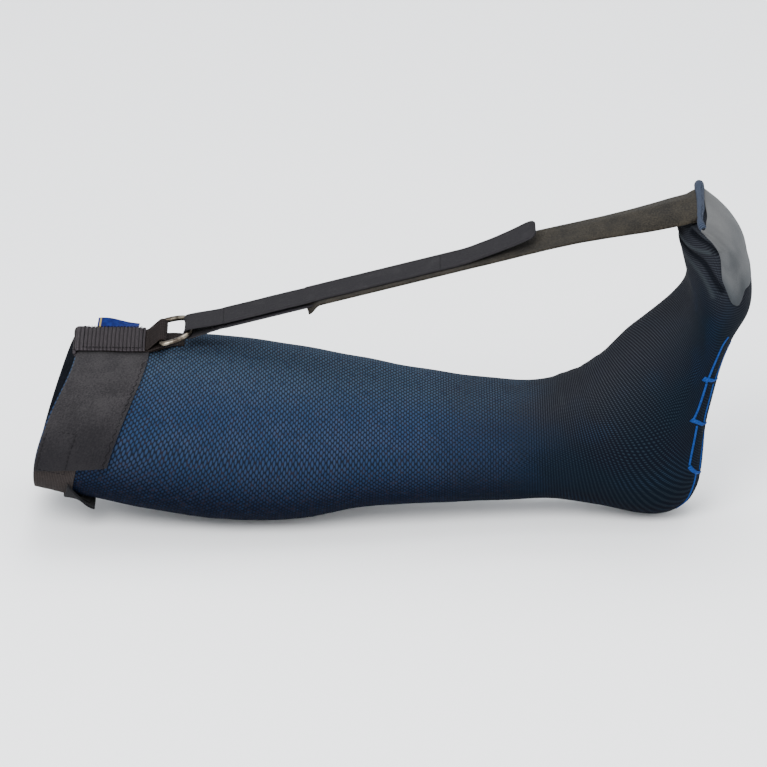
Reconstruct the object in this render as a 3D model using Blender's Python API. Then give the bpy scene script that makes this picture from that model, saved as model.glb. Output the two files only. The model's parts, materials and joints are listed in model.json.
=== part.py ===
"""Knee-high stretching sock with a toe-lift strap, in the shape it has on a lying leg.

The leg lies along X with the knee at -X, the shin facing +Z and the toes up. A strap runs from
the toe seam to a D-ring below the knee, turns round the ring and sticks back onto itself. All
lengths are in metres. Points are laid out from the ankle axis, and the whole sock is then set
down with its lowest point on Z = 0 and its middle over the origin.
"""

import math

import bmesh
import bpy
from mathutils import Vector

# Fabric thicknesses, and the air between two layers that are sewn or pressed together
KNIT = 0.0016
PANEL = 0.0018
ELASTIC = 0.0012
TAB = 0.0015
WEBBING = 0.0012
RIB_TAPE = 0.0015
HOOK_TAPE = 0.0013
LOOP_TAPE = 0.0016
PATCH = 0.0012
LABEL = 0.0012
GAP = 0.0003
WIDE_GAP = 0.0005
TURN_GAP = 0.0008
PATCH_GAP = 0.0013

# The sock's cross-sections, from the knee rim to the toe slit. Each one lies between a point on
# the shin or instep side and a point on the calf, heel or sole side.
# (front x, front z), (back x, back z), half width
SECTIONS = (
    ((-0.3645, 0.0750), (-0.3965, -0.0250), 0.0540),  # 0 knee rim
    ((-0.3160, 0.0738), (-0.3530, -0.0360), 0.0570),  # 1 lower edge of the cuff
    ((-0.2710, 0.0715), (-0.2990, -0.0470), 0.0590),  # 2 upper calf
    ((-0.2360, 0.0675), (-0.2520, -0.0532), 0.0590),  # 3 fullest calf
    ((-0.2010, 0.0625), (-0.2100, -0.0523), 0.0560),  # 4
    ((-0.1660, 0.0565), (-0.1695, -0.0440), 0.0510),  # 5 end of the calf muscle
    ((-0.1275, 0.0492), (-0.1275, -0.0420), 0.0450),  # 6
    ((-0.0925, 0.0447), (-0.0910, -0.0412), 0.0400),  # 7
    ((-0.0575, 0.0420), (-0.0560, -0.0408), 0.0360),  # 8 slimmest, above the ankle
    ((-0.0350, 0.0433), (-0.0290, -0.0408), 0.0355),  # 9
    ((-0.0200, 0.0495), (0.0000, -0.0455), 0.0360),  # 10 ankle bones
    ((-0.0063, 0.0565), (0.0270, -0.0515), 0.0365),  # 11 back of the heel
    ((0.0056, 0.0650), (0.0460, -0.0515), 0.0360),  # 12
    ((0.0154, 0.0740), (0.0605, -0.0440), 0.0355),  # 13 corner of the heel
    ((0.0245, 0.0829), (0.0675, -0.0315), 0.0360),  # 14 heel pad
    ((0.0336, 0.0924), (0.0700, -0.0170), 0.0365),  # 15
    ((0.0427, 0.1018), (0.0715, -0.0010), 0.0370),  # 16
    ((0.0504, 0.1113), (0.0735, 0.0185), 0.0385),  # 17 arch
    ((0.0567, 0.1208), (0.0780, 0.0417), 0.0410),  # 18
    ((0.0610, 0.1303), (0.0845, 0.0649), 0.0440),  # 19
    ((0.0630, 0.1390), (0.0940, 0.0880), 0.0465),  # 20
    ((0.0630, 0.1480), (0.1035, 0.1089), 0.0475),  # 21 ball of the foot
    ((0.0615, 0.1560), (0.1055, 0.1244), 0.0465),  # 22 root of the toes
    ((0.0610, 0.1625), (0.1015, 0.1395), 0.0445),  # 23
    ((0.0630, 0.1680), (0.0945, 0.1535), 0.0420),  # 24 toe pads
    ((0.0668, 0.1732), (0.0855, 0.1672), 0.0395),  # 25
    ((0.0698, 0.1762), (0.0750, 0.1785), 0.0370),  # 26 toe slit
)
KNEE_RIM, LEG_END, FOOT_START, TOE_SLIT = 0, 9, 11, 26
SQUARENESS = 2.4  # superellipse power of a cross-section; 2 is an ellipse
LEG_EGG, FOOT_EGG = 0.05, 0.16  # how much wider a section's back is than its front
GRID_ANGLE = 10  # degrees between the lines that run along the sock
JOINT_SHARE = 0.015  # half the gap between two knit parts, as a share of one section step

# Cuff, in degrees round the leg from the shin (+Y is the far side) and in shares of its width
PANEL_NEAR_END = -114
PANEL_FAR_END = 170
PANEL_EDGES = (0.03, 0.985)
ELASTIC_ENDS = (90, 270)
ELASTIC_EDGES = (0.06, 0.60)
PANEL_RISE = (60.0, 90.0)  # where the panel climbs onto the elastic
TAB_END = 210
TAB_EDGES = (0.64, 0.93)
TAB_HOOK_ENDS = (182, 208)
TAB_HOOK_EDGES = (0.67, 0.90)
TAB_HOOK = 0.0010
TAB_HINGE = 171.1
TAB_START = 171.4

# D-ring, in the plane of the strap, and the strap's direction from the ring's bar to the toe
BAR_AT = Vector((-0.3058, 0.0, 0.0825))
STRAP_RISE = math.radians(14.95)
WIRE_RADIUS = 0.0019
RING_HALF = 0.0198
RING_DEPTH = 0.0204
RING_CORNER = 0.0030
RING_POWER = 3.1

# Half widths of the tapes
WEBBING_HALF = 0.0168
RIB_HALF = 0.0186
HOOK_HALF = 0.0128
LOOP_HALF = 0.0178
LOOP_TOE_HALF = 0.0255
STUB_HALF = 0.0250

# Places along the strap, from the ring's bar
TURN_END = 0.0450
ROOT_END = 0.0870
JOINT_START = 0.1030
LOWER_HOOK_END = 0.1260
PEEL_AT = 0.2120
TAIL_END = 0.2700
TAIL_ROUNDING = 0.0065
TAIL_LIFT = 0.0085
WIDEN_START = 0.2950
LOOP_END = 0.3845
STUB_START = 0.3776
STUB_END = 0.3855
HINGE_SLOT = 0.0011
HINGE_START = 0.0003

# Layers of the strap, above its middle plane
LAYER = (HOOK_TAPE + LOOP_TAPE) / 2.0 + GAP
STUB_LEVEL = -0.0020
TURN_RADIUS = WIRE_RADIUS + TURN_GAP + HOOK_TAPE / 2.0

# Shin webbing, ribbed tape and label
RIB_FROM, RIB_TO = -0.3640, -0.3175
RIB_COUNT = 17
RIB_HEIGHT = 0.0005
WEBBING_FROM = -0.3500
WEBBING_LEAVES = -0.3155
WEBBING_LIFT = 0.0030
WEBBING_TURN = (-78.0, 132.0)
LABEL_FROM, LABEL_TO = -0.3510, -0.3220
LABEL_REACH = 0.0125
LABEL_RISE = 0.0030

# Toe
BINDING_AT = Vector((0.0705, 0.0, 0.1795))
BINDING_RADIUS = 0.0026
BINDING_HALF = 0.0375
PATCH_START, PATCH_END = 20.75, 25.60
PATCH_HALF_ANGLE = 76.0

# Sewing thread
THREAD = 0.0002
THREAD_LIFT = 0.0005
STITCH_START = 26.0

ACROSS = Vector((0.0, 1.0, 0.0))
STRAP_DIR = Vector((math.cos(STRAP_RISE), 0.0, math.sin(STRAP_RISE)))
STRAP_NORMAL = Vector((-math.sin(STRAP_RISE), 0.0, math.cos(STRAP_RISE)))


def clear_scene():
    for item in list(bpy.data.objects):
        bpy.data.objects.remove(item)


def linear(level):
    """Linear light for a display level from 0 to 255."""
    share = level / 255.0
    return share / 12.92 if share <= 0.04045 else ((share + 0.055) / 1.055) ** 2.4


def material(name, red, green, blue, roughness, metallic=0.0):
    made = bpy.data.materials.new(name)
    made.use_nodes = True
    shader = made.node_tree.nodes["Principled BSDF"]
    shader.inputs["Base Color"].default_value = (linear(red), linear(green), linear(blue), 1.0)
    shader.inputs["Roughness"].default_value = roughness
    shader.inputs["Metallic"].default_value = metallic
    return made


# ---------------------------------------------------------------- the sock's own surface

FRONT_LINE = [Vector((front[0], 0.0, front[1])) for front, _, _ in SECTIONS]
BACK_LINE = [Vector((back[0], 0.0, back[1])) for _, back, _ in SECTIONS]
HALF_WIDTHS = [half for _, _, half in SECTIONS]


def smooth(start, end, value):
    share = min(max((value - start) / (end - start), 0.0), 1.0)
    return share * share * (3.0 - 2.0 * share)


def between(values, place):
    """Straight-line value at a fractional index."""
    start = min(max(int(place), 0), len(values) - 2)
    return values[start] + (values[start + 1] - values[start]) * (place - start)


def rounded(value):
    return math.copysign(abs(value) ** (2.0 / SQUARENESS), value)


def skin(place, degrees, lift=0.0):
    """Point on the sock at a section index and an angle: 0 is the shin or the instep."""
    front, back = between(FRONT_LINE, place), between(BACK_LINE, place)
    half = between(HALF_WIDTHS, place) + lift
    arm = (front - back) / 2.0
    arm *= (arm.length + lift) / arm.length
    deep = rounded(math.cos(math.radians(degrees)))
    side = rounded(math.sin(math.radians(degrees)))
    egg = LEG_EGG + (FOOT_EGG - LEG_EGG) * smooth(LEG_END, FOOT_START + 2, place)
    return (front + back) / 2.0 + arm * deep + ACROSS * (half * side * (1.0 - egg * deep))


def grid_angles(first, last):
    lines = range(-360, 361, GRID_ANGLE)
    return [first] + [line for line in lines if first < line < last] + [last]


def grid_places(first, last):
    return [first] + [row for row in range(TOE_SLIT + 1) if first < row < last] + [last]


def spread(first, last, count):
    return [first + (last - first) * step / (count - 1) for step in range(count)]


# ---------------------------------------------------------------- mesh builders


class Body:
    """A set of pieces that move together, hung from an empty on their joint."""

    def __init__(self, name, at, parent=None):
        self.at = at
        self.empty = bpy.data.objects.new(name, None)
        bpy.context.scene.collection.objects.link(self.empty)
        self.empty.location = at - parent.at if parent else at
        self.empty.parent = parent.empty if parent else None

    def add(self, name, bm, look):
        bmesh.ops.recalc_face_normals(bm, faces=bm.faces)
        mesh = bpy.data.meshes.new(name)
        bm.to_mesh(mesh)
        bm.free()
        mesh.shade_smooth()
        mesh.set_sharp_from_angle(angle=math.radians(40.0))
        mesh.materials.append(look)
        item = bpy.data.objects.new(name, mesh)
        bpy.context.scene.collection.objects.link(item)
        item.parent = self.empty
        item.location = -self.at
        return item


def quad(bm, first, second, third, fourth):
    bm.faces.new((first, second, third))
    bm.faces.new((first, third, fourth))


def sheet(top, bottom):
    """Thin closed sheet between two grids of points."""
    bm = bmesh.new()
    upper = [[bm.verts.new(point) for point in row] for row in top]
    lower = [[bm.verts.new(point) for point in row] for row in bottom]
    rows, columns = len(top), len(top[0])
    for row in range(rows - 1):
        for column in range(columns - 1):
            for side in (upper, lower):
                near, far = side[row], side[row + 1]
                quad(bm, near[column], near[column + 1], far[column + 1], far[column])
        for column in (0, columns - 1):
            quad(bm, upper[row][column], upper[row + 1][column],
                 lower[row + 1][column], lower[row][column])
    for column in range(columns - 1):
        for row in (0, rows - 1):
            quad(bm, upper[row][column], upper[row][column + 1],
                 lower[row][column + 1], lower[row][column])
    return bm


def loft(rings, closed):
    """Skin over a row of closed rings; a closed row joins up with itself, an open one is capped."""
    bm = bmesh.new()
    made = [[bm.verts.new(point) for point in ring] for ring in rings]
    count = len(made[0])
    for row in range(len(made) if closed else len(made) - 1):
        near, far = made[row], made[(row + 1) % len(made)]
        for column in range(count):
            after = (column + 1) % count
            quad(bm, near[column], near[after], far[after], far[column])
    if not closed:
        bm.faces.new(made[0])
        bm.faces.new(made[-1])
        bmesh.ops.triangulate(bm, faces=[face for face in bm.faces if len(face.verts) > 4])
    return bm


def wire(path, radii, closed, sides):
    """Round bar along a path; the path may turn in any direction."""
    rings = []
    for step, point in enumerate(path):
        before = path[step - 1] if step or closed else point
        after = path[(step + 1) % len(path)] if step + 1 < len(path) or closed else point
        ahead = (after - before).normalized()
        first = ahead.cross(Vector((0.31, 0.17, 0.94))).normalized()
        second = ahead.cross(first)
        turns = [2.0 * math.pi * side / sides for side in range(sides)]
        rings.append([point + (first * math.cos(turn) + second * math.sin(turn)) * radii[step]
                      for turn in turns])
    return loft(rings, closed)


def sock_ring(place, lift):
    return [skin(place, degrees, lift) for degrees in range(0, 360, GRID_ANGLE)]


def knit_tube(first, last):
    rows = grid_places(first, last)
    outside = [sock_ring(row, 0.0) for row in rows]
    inside = [sock_ring(row, -KNIT) for row in reversed(rows)]
    return loft(outside + inside, closed=True)


def knit_cup(first, last):
    """Knit tube closed at its far end."""
    rows = grid_places(first, last)
    outside = [sock_ring(row, 0.0) for row in reversed(rows)]
    inner_rows = rows[:-1] + [last - 2.0 * KNIT / 0.010]
    inside = [sock_ring(row, -KNIT) for row in inner_rows]
    return loft(outside + inside, closed=False)


def shell(places, angles, low, thickness):
    """Sheet lying on the sock; low is its lift at an angle."""
    top = [[skin(place, turn, low(turn) + thickness) for turn in angles] for place in places]
    bottom = [[skin(place, turn, low(turn)) for turn in angles] for place in places]
    return sheet(top, bottom)


def band(path, halves, thickness, columns, bow=None):
    """Tape along a path in the XZ plane; bow moves each point by its path step and its y."""
    top, bottom = [], []
    for step, centre in enumerate(path):
        before, after = path[max(step - 1, 0)], path[min(step + 1, len(path) - 1)]
        normal = (after - before).cross(ACROSS).normalized()
        row = []
        for y in spread(-halves[step], halves[step], columns):
            shift = bow(step, y) if bow else Vector((0.0, 0.0, 0.0))
            row.append(centre + ACROSS * y + shift)
        top.append([point + normal * (thickness / 2.0) for point in row])
        bottom.append([point - normal * (thickness / 2.0) for point in row])
    return sheet(top, bottom)


def on_strap(along, level, y=0.0):
    return BAR_AT + STRAP_DIR * along + STRAP_NORMAL * level + ACROSS * y


def straight_tape(first, last, level, half, thickness):
    path = [on_strap(along, level) for along in spread(first, last, 4)]
    return band(path, [half] * len(path), thickness, 3)


# ---------------------------------------------------------------- leg and cuff


def panel_low(degrees):
    return GAP + (ELASTIC + GAP) * smooth(*PANEL_RISE, abs(degrees))


def level_on_knit(_degrees):
    return GAP


def tab_low(_degrees):
    return GAP + ELASTIC + GAP


def front_drop(y):
    """How far the cuff's front falls away from its middle line at a distance y from it."""
    half = (between(HALF_WIDTHS, 0.6) + PANEL) * (1.0 - LEG_EGG)
    depth = (FRONT_LINE[0] - BACK_LINE[0]).length / 2.0
    return depth * (1.0 - (1.0 - (abs(y) / half) ** SQUARENESS) ** (1.0 / SQUARENESS))


def shin(x, lift):
    """Point above the middle of the shin in the cuff."""
    share = (x - FRONT_LINE[0].x) / (FRONT_LINE[1].x - FRONT_LINE[0].x)
    return FRONT_LINE[0].lerp(FRONT_LINE[1], share) + Vector((0.0, 0.0, lift))


def sagging(share):
    """Bow that follows the front of the cuff, by a share for each path step."""
    return lambda step, y: Vector((0.0, 0.0, -front_drop(y) * share[step]))


def build_knit(leg, looks):
    leg.add("leg_knit", knit_tube(KNEE_RIM, LEG_END - JOINT_SHARE), looks["calf_knit"])
    ankle = knit_tube(LEG_END + JOINT_SHARE, FOOT_START - JOINT_SHARE)
    leg.add("ankle_knit", ankle, looks["foot_knit"])


def build_cuff(leg, looks):
    angles = grid_angles(PANEL_NEAR_END, PANEL_FAR_END)
    leg.add("cuff_panel", shell(PANEL_EDGES, angles, panel_low, PANEL), looks["cuff"])
    angles = grid_angles(*ELASTIC_ENDS)
    leg.add("cuff_elastic", shell(ELASTIC_EDGES, angles, level_on_knit, ELASTIC),
            looks["elastic"])


def build_tab(tab, looks):
    angles = grid_angles(TAB_START, TAB_END)
    tab.add("cuff_tab", shell(TAB_EDGES, angles, tab_low, TAB), looks["cuff"])
    angles = grid_angles(*TAB_HOOK_ENDS)
    tab.add("cuff_tab_hook", shell(TAB_HOOK_EDGES, angles, level_on_knit, TAB_HOOK),
            looks["hook"])


def build_rib_tape(leg, looks):
    """Tape with raised ribs across it, sewn over the shin end of the webbing."""
    steps = RIB_COUNT * 4 + 1
    lift = WEBBING_LIFT + WEBBING / 2.0 + GAP + RIB_TAPE / 2.0
    columns = spread(-RIB_HALF, RIB_HALF, 9)
    top, bottom = [], []
    for step, x in enumerate(spread(RIB_FROM, RIB_TO, steps)):
        rib = RIB_HEIGHT * (1.0 - math.cos(2.0 * math.pi * step / 4.0)) / 2.0
        row = [shin(x, lift - front_drop(y)) + ACROSS * y for y in columns]
        top.append([point + Vector((0.0, 0.0, RIB_TAPE / 2.0 + rib)) for point in row])
        bottom.append([point - Vector((0.0, 0.0, RIB_TAPE / 2.0)) for point in row])
    leg.add("rib_tape", sheet(top, bottom), looks["rib_tape"])


def build_webbing(leg, looks):
    """Webbing folded round the ring's bar, its lower layer sewn under the ribbed tape."""
    radius = WIRE_RADIUS + WIDE_GAP + WEBBING / 2.0
    path = [shin(x, WEBBING_LIFT) for x in spread(WEBBING_FROM, WEBBING_LEAVES, 5)]
    share = [1.0, 1.0, 1.0, 1.0, 1.0]
    for turn in spread(*WEBBING_TURN, 10):
        across = Vector((math.cos(math.radians(turn)), 0.0, math.sin(math.radians(turn))))
        path.append(BAR_AT + across * radius)
        share.append(0.0)
    upper_lift = WEBBING_LIFT + WEBBING + GAP
    path += [shin(WEBBING_LEAVES, upper_lift), shin(RIB_TO + GAP, upper_lift)]
    share += [0.8, 1.0]
    web = band(path, [WEBBING_HALF] * len(path), WEBBING, 9, sagging(share))
    leg.add("ring_webbing", web, looks["webbing"])


def build_label(leg, looks):
    lift = WEBBING_LIFT + WEBBING / 2.0 + GAP + RIB_TAPE / 2.0
    top, bottom = [], []
    for share in spread(0.0, 1.0, 4):
        y = RIB_HALF + GAP + LABEL_REACH * share
        rise = lift - front_drop(RIB_HALF) + LABEL_RISE * share
        row = [shin(x, rise) + ACROSS * y for x in spread(LABEL_FROM, LABEL_TO, 3)]
        top.append([point + Vector((0.0, 0.0, LABEL / 2.0)) for point in row])
        bottom.append([point - Vector((0.0, 0.0, LABEL / 2.0)) for point in row])
    leg.add("side_label", sheet(top, bottom), looks["label"])


def zigzag_line(start, end, count, place_of):
    """Points of a zigzag; place_of turns a share of its length and a side into a point."""
    shares = spread(start, end, count)
    return [place_of(share, 1.0 if step % 2 else -1.0) for step, share in enumerate(shares)]


def thread(path):
    return wire(path, [THREAD] * len(path), closed=False, sides=4)


def build_cuff_stitching(leg, looks):
    def edge(degrees, side):
        place = 0.86 + 0.02 * side
        return skin(place, degrees, panel_low(degrees) + PANEL + THREAD_LIFT)

    near = zigzag_line(PANEL_NEAR_END + 3.0, -STITCH_START, 41, edge)
    leg.add("cuff_stitching_near", thread(near), looks["thread"])
    far = zigzag_line(STITCH_START, PANEL_FAR_END - 3.0, 55, edge)
    leg.add("cuff_stitching_far", thread(far), looks["thread"])
    outline = [(0.08, turn) for turn in (-111, -105, -99, -93)]
    outline += [(0.30, -93), (0.58, -93)]
    outline += [(0.58, turn) for turn in (-99, -105, -111)]
    path = [skin(place, turn, panel_low(turn) + PANEL + THREAD_LIFT) for place, turn in outline]
    leg.add("elastic_stitching", thread(path), looks["thread"])


# ---------------------------------------------------------------- ring and strap


def ring_reach(y):
    """How far the ring's round side is from its bar, at a distance y from its middle."""
    return RING_DEPTH * (1.0 - (abs(y) / RING_HALF) ** RING_POWER) ** (1.0 / RING_POWER)


def ring_path():
    """Straight bar with rounded corners, then the round side."""
    points = [(0.0, y) for y in spread(RING_CORNER - RING_HALF, RING_HALF - RING_CORNER, 5)]
    for turn in (30.0, 60.0, 90.0):
        angle = math.radians(turn)
        points.append((RING_CORNER * (1.0 - math.cos(angle)),
                       RING_HALF - RING_CORNER + RING_CORNER * math.sin(angle)))
    for turn in range(15, 166, 10):
        cosine, sine = math.cos(math.radians(turn)), math.sin(math.radians(turn))
        y = RING_HALF * math.copysign(abs(cosine) ** (2.0 / RING_POWER), cosine)
        points.append((RING_DEPTH * sine ** (2.0 / RING_POWER), y))
    for turn in (90.0, 60.0, 30.0):
        angle = math.radians(turn)
        points.append((RING_CORNER * (1.0 - math.cos(angle)),
                       RING_CORNER - RING_HALF - RING_CORNER * math.sin(angle)))
    return [on_strap(along, 0.0, y) for along, y in points]


def build_ring(ring, looks):
    path = ring_path()
    ring.add("d_ring", wire(path, [WIRE_RADIUS] * len(path), closed=True, sides=12),
             looks["ring"])


def turn_line():
    """Places and levels of the tape's turn round the ring, and how much each one is bowed."""
    arm = [(along, TURN_RADIUS + (LAYER - TURN_RADIUS) * smooth(RING_DEPTH, TURN_END, along),
            1.0 - smooth(RING_DEPTH, TURN_END, along))
           for along in spread(TURN_END, RING_DEPTH, 6)]
    turn = []
    for degrees in spread(-90.0, -270.0, 9)[1:-1]:
        angle = math.radians(degrees)
        turn.append((RING_DEPTH + TURN_RADIUS * math.cos(angle), TURN_RADIUS * math.sin(angle),
                     1.0))
    lower = [(along, -level, share) for along, level, share in arm]
    return lower + turn + list(reversed(arm))


def build_turn(ring, looks):
    line = turn_line()

    def bow(step, y):
        return STRAP_DIR * ((ring_reach(y) - RING_DEPTH) * line[step][2])

    path = [on_strap(along, level) for along, level, _ in line]
    turn = band(path, [HOOK_HALF] * len(path), HOOK_TAPE, 9, bow)
    ring.add("hook_tape_turn", turn, looks["hook_tape"])
    for name, level in (("hook_tape_lower_root", -LAYER), ("hook_tape_upper_root", LAYER)):
        root = straight_tape(TURN_END + GAP, ROOT_END - GAP, level, HOOK_HALF, HOOK_TAPE)
        ring.add(name, root, looks["hook_tape"])


def loop_half(along):
    return LOOP_HALF + (LOOP_TOE_HALF - LOOP_HALF) * smooth(WIDEN_START, LOOP_END, along)


def build_strap(strap, looks):
    lower = straight_tape(ROOT_END, LOWER_HOOK_END, -LAYER, HOOK_HALF, HOOK_TAPE)
    strap.add("hook_tape_lower", lower, looks["hook_tape"])
    places = [JOINT_START, 0.1700, 0.2400] + spread(WIDEN_START, LOOP_END, 6)
    path = [on_strap(along, 0.0) for along in places]
    loop = band(path, [loop_half(along) for along in places], LOOP_TAPE, 5)
    strap.add("loop_tape", loop, looks["loop_tape"])

    def box(share, side):
        along = JOINT_START + 0.0115 + 0.0060 * side
        return on_strap(along, -LAYER - HOOK_TAPE / 2.0 - THREAD_LIFT, share)

    path = zigzag_line(-HOOK_HALF + 0.0015, HOOK_HALF - 0.0015, 12, box)
    strap.add("joint_stitching", thread(path), looks["thread"])


def build_tail(tail, tip, looks):
    upper = straight_tape(ROOT_END, PEEL_AT - HINGE_SLOT, LAYER, HOOK_HALF, HOOK_TAPE)
    tail.add("hook_tape_upper", upper, looks["hook_tape"])
    round_start = TAIL_END - TAIL_ROUNDING
    places = spread(PEEL_AT + HINGE_START, round_start, 6)
    places += [round_start + TAIL_ROUNDING * share for share in (0.4, 0.7, 0.88, 0.96, 1.0)]
    path, halves = [], []
    for along in places:
        share = (along - PEEL_AT) / (TAIL_END - PEEL_AT)
        path.append(on_strap(along, LAYER + TAIL_LIFT * share**2))
        curve = max(along - round_start, 0.0) / TAIL_ROUNDING
        halves.append(HOOK_HALF - TAIL_ROUNDING * (1.0 - math.sqrt(max(1.0 - curve**2, 0.0))))
    tip.add("hook_tape_tip", band(path, halves, HOOK_TAPE, 5), looks["hook_tape"])


# ---------------------------------------------------------------- foot


def build_foot(foot, looks):
    foot.add("foot_knit", knit_cup(FOOT_START + JOINT_SHARE, TOE_SLIT), looks["foot_knit"])
    top, bottom = [], []
    for place in [PATCH_START] + [20.85, 21.0, 21.3, 21.7, 22.2, 23.0, 24.0, 25.0, PATCH_END]:
        share = min((place - PATCH_START) / 1.6, 1.0)
        half = PATCH_HALF_ANGLE * (0.35 + 0.65 * math.sqrt(1.0 - (1.0 - share) ** 2))
        angles = spread(180.0 - half, 180.0 + half, 21)
        top.append([skin(place, turn, PATCH_GAP + PATCH) for turn in angles])
        bottom.append([skin(place, turn, PATCH_GAP) for turn in angles])
    foot.add("toe_patch", sheet(top, bottom), looks["patch"])


def build_binding(foot, looks):
    """Thick piping over the toe seam, and the strap's end that is sewn into it."""
    shares = (-1.0, -0.985, -0.95, -0.6, 0.0, 0.6, 0.95, 0.985, 1.0)
    path = [BINDING_AT + ACROSS * (BINDING_HALF * share) for share in shares]
    radii = [BINDING_RADIUS * (1.0 - max(abs(share) - 0.95, 0.0) / 0.05 * 0.6)
             for share in shares]
    foot.add("toe_binding", wire(path, radii, closed=False, sides=14), looks["binding"])

    def wrap(share, side):
        angle = math.radians(75.0 + 16.0 * side)
        reach = Vector((math.cos(angle), 0.0, math.sin(angle))) * (BINDING_RADIUS + 0.0006)
        return BINDING_AT + reach + ACROSS * share

    path = zigzag_line(-BINDING_HALF * 0.94, BINDING_HALF * 0.94, 33, wrap)
    foot.add("toe_stitching", thread(path), looks["thread"])
    stub = straight_tape(STUB_START, STUB_END, STUB_LEVEL, STUB_HALF, HOOK_TAPE)
    foot.add("strap_sewn_end", stub, looks["loop_tape"])


# ---------------------------------------------------------------- assembly


def make_looks():
    return {
        "calf_knit": material("calf_knit", 49, 69, 94, 0.85),
        "foot_knit": material("foot_knit", 24, 38, 52, 0.85),
        "cuff": material("cuff_fabric", 75, 72, 75, 0.95),
        "elastic": material("elastic", 66, 58, 58, 0.85),
        "hook": material("hook_pad", 30, 30, 33, 0.6),
        "rib_tape": material("rib_tape", 71, 66, 70, 0.8),
        "webbing": material("webbing", 46, 40, 40, 0.75),
        "label": material("label", 39, 73, 145, 0.7),
        "ring": material("ring_metal", 128, 122, 112, 0.35, 1.0),
        "hook_tape": material("hook_tape", 66, 65, 67, 0.7),
        "loop_tape": material("loop_tape", 79, 76, 70, 0.95),
        "patch": material("toe_patch", 118, 120, 121, 0.75),
        "binding": material("binding", 62, 72, 88, 0.8),
        "thread": material("thread", 40, 44, 52, 0.6),
    }


def set_down(root):
    """Puts the sock's lowest point on Z = 0 and the middle of its length over the origin."""
    meshes = [item.data for item in bpy.data.objects if item.type == "MESH"]
    points = [vertex.co for mesh in meshes for vertex in mesh.vertices]
    first, last = min(point.x for point in points), max(point.x for point in points)
    root.empty.location = Vector((-(first + last) / 2.0, 0.0, -min(point.z for point in points)))


def hinge_point():
    lift = tab_low(TAB_HINGE) + TAB / 2.0
    return (skin(TAB_EDGES[0], TAB_HINGE, lift) + skin(TAB_EDGES[1], TAB_HINGE, lift)) / 2.0


def main():
    clear_scene()
    looks = make_looks()
    leg = Body("leg_body", Vector((0.0, 0.0, 0.0)))
    foot = Body("ankle_axis", Vector((0.0, 0.0, 0.0)), leg)
    ring = Body("ring_axis", BAR_AT, leg)
    strap = Body("strap_slide_point", on_strap(ROOT_END, 0.0), ring)
    tail = Body("tail_slide_point", on_strap(ROOT_END, LAYER), ring)
    tip = Body("peel_axis", on_strap(PEEL_AT, LAYER), tail)
    tab = Body("tab_axis", hinge_point(), leg)
    build_knit(leg, looks)
    build_cuff(leg, looks)
    build_tab(tab, looks)
    build_rib_tape(leg, looks)
    build_webbing(leg, looks)
    build_label(leg, looks)
    build_cuff_stitching(leg, looks)
    build_ring(ring, looks)
    build_turn(ring, looks)
    build_strap(strap, looks)
    build_tail(tail, tip, looks)
    build_foot(foot, looks)
    build_binding(foot, looks)
    set_down(leg)


main()
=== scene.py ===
"""Looks of the knee-high stretching sock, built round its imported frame.

Every soft piece is modelled again here, finer than in the frame: the knit with its folds, the
cuff, the tapes, the toe patch and the sewing. All lengths are in metres. A point on the sock is
given by a section index, called its place, and by degrees round the leg, with 0 on the shin and
the far side positive. A point on the strap is given by its distance from the ring's bar.
"""

import json
import math

import bmesh
import bpy
import numpy as np
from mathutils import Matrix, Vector


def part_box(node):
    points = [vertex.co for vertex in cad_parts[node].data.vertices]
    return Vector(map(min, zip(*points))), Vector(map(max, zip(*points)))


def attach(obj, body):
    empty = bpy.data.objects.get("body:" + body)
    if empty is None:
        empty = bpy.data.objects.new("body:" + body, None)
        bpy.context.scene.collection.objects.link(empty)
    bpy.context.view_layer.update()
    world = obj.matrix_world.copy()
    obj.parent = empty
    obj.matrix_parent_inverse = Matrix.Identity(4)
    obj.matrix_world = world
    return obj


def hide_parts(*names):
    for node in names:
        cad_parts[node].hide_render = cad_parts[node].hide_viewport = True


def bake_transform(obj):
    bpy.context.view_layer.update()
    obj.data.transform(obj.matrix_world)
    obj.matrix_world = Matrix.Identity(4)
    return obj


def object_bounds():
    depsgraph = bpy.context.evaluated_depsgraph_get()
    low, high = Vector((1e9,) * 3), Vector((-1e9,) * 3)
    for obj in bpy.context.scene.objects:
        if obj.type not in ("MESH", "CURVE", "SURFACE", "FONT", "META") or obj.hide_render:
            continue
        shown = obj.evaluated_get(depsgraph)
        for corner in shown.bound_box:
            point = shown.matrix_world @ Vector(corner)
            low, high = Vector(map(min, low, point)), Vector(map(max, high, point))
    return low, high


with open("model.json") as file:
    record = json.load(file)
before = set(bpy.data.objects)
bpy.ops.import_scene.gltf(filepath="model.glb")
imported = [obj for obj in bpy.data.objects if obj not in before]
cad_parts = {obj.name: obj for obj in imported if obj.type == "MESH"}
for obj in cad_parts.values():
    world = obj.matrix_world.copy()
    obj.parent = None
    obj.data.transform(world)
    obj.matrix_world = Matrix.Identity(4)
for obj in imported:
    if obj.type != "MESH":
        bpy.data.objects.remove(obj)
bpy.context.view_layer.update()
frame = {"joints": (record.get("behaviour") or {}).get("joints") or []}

JOINTS = {joint["name"]: joint for joint in frame["joints"]}
ANKLE = np.array(JOINTS["ankle_flex"]["pos_m"])
BAR = np.array(JOINTS["ring_swing"]["pos_m"])
PEEL_AT = np.array(JOINTS["tail_peel"]["pos_m"])
ALONG = np.array(JOINTS["strap_slide"]["axis"])
ACROSS = np.array((0.0, 1.0, 0.0))
NORMAL = np.cross(ALONG, ACROSS)

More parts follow.
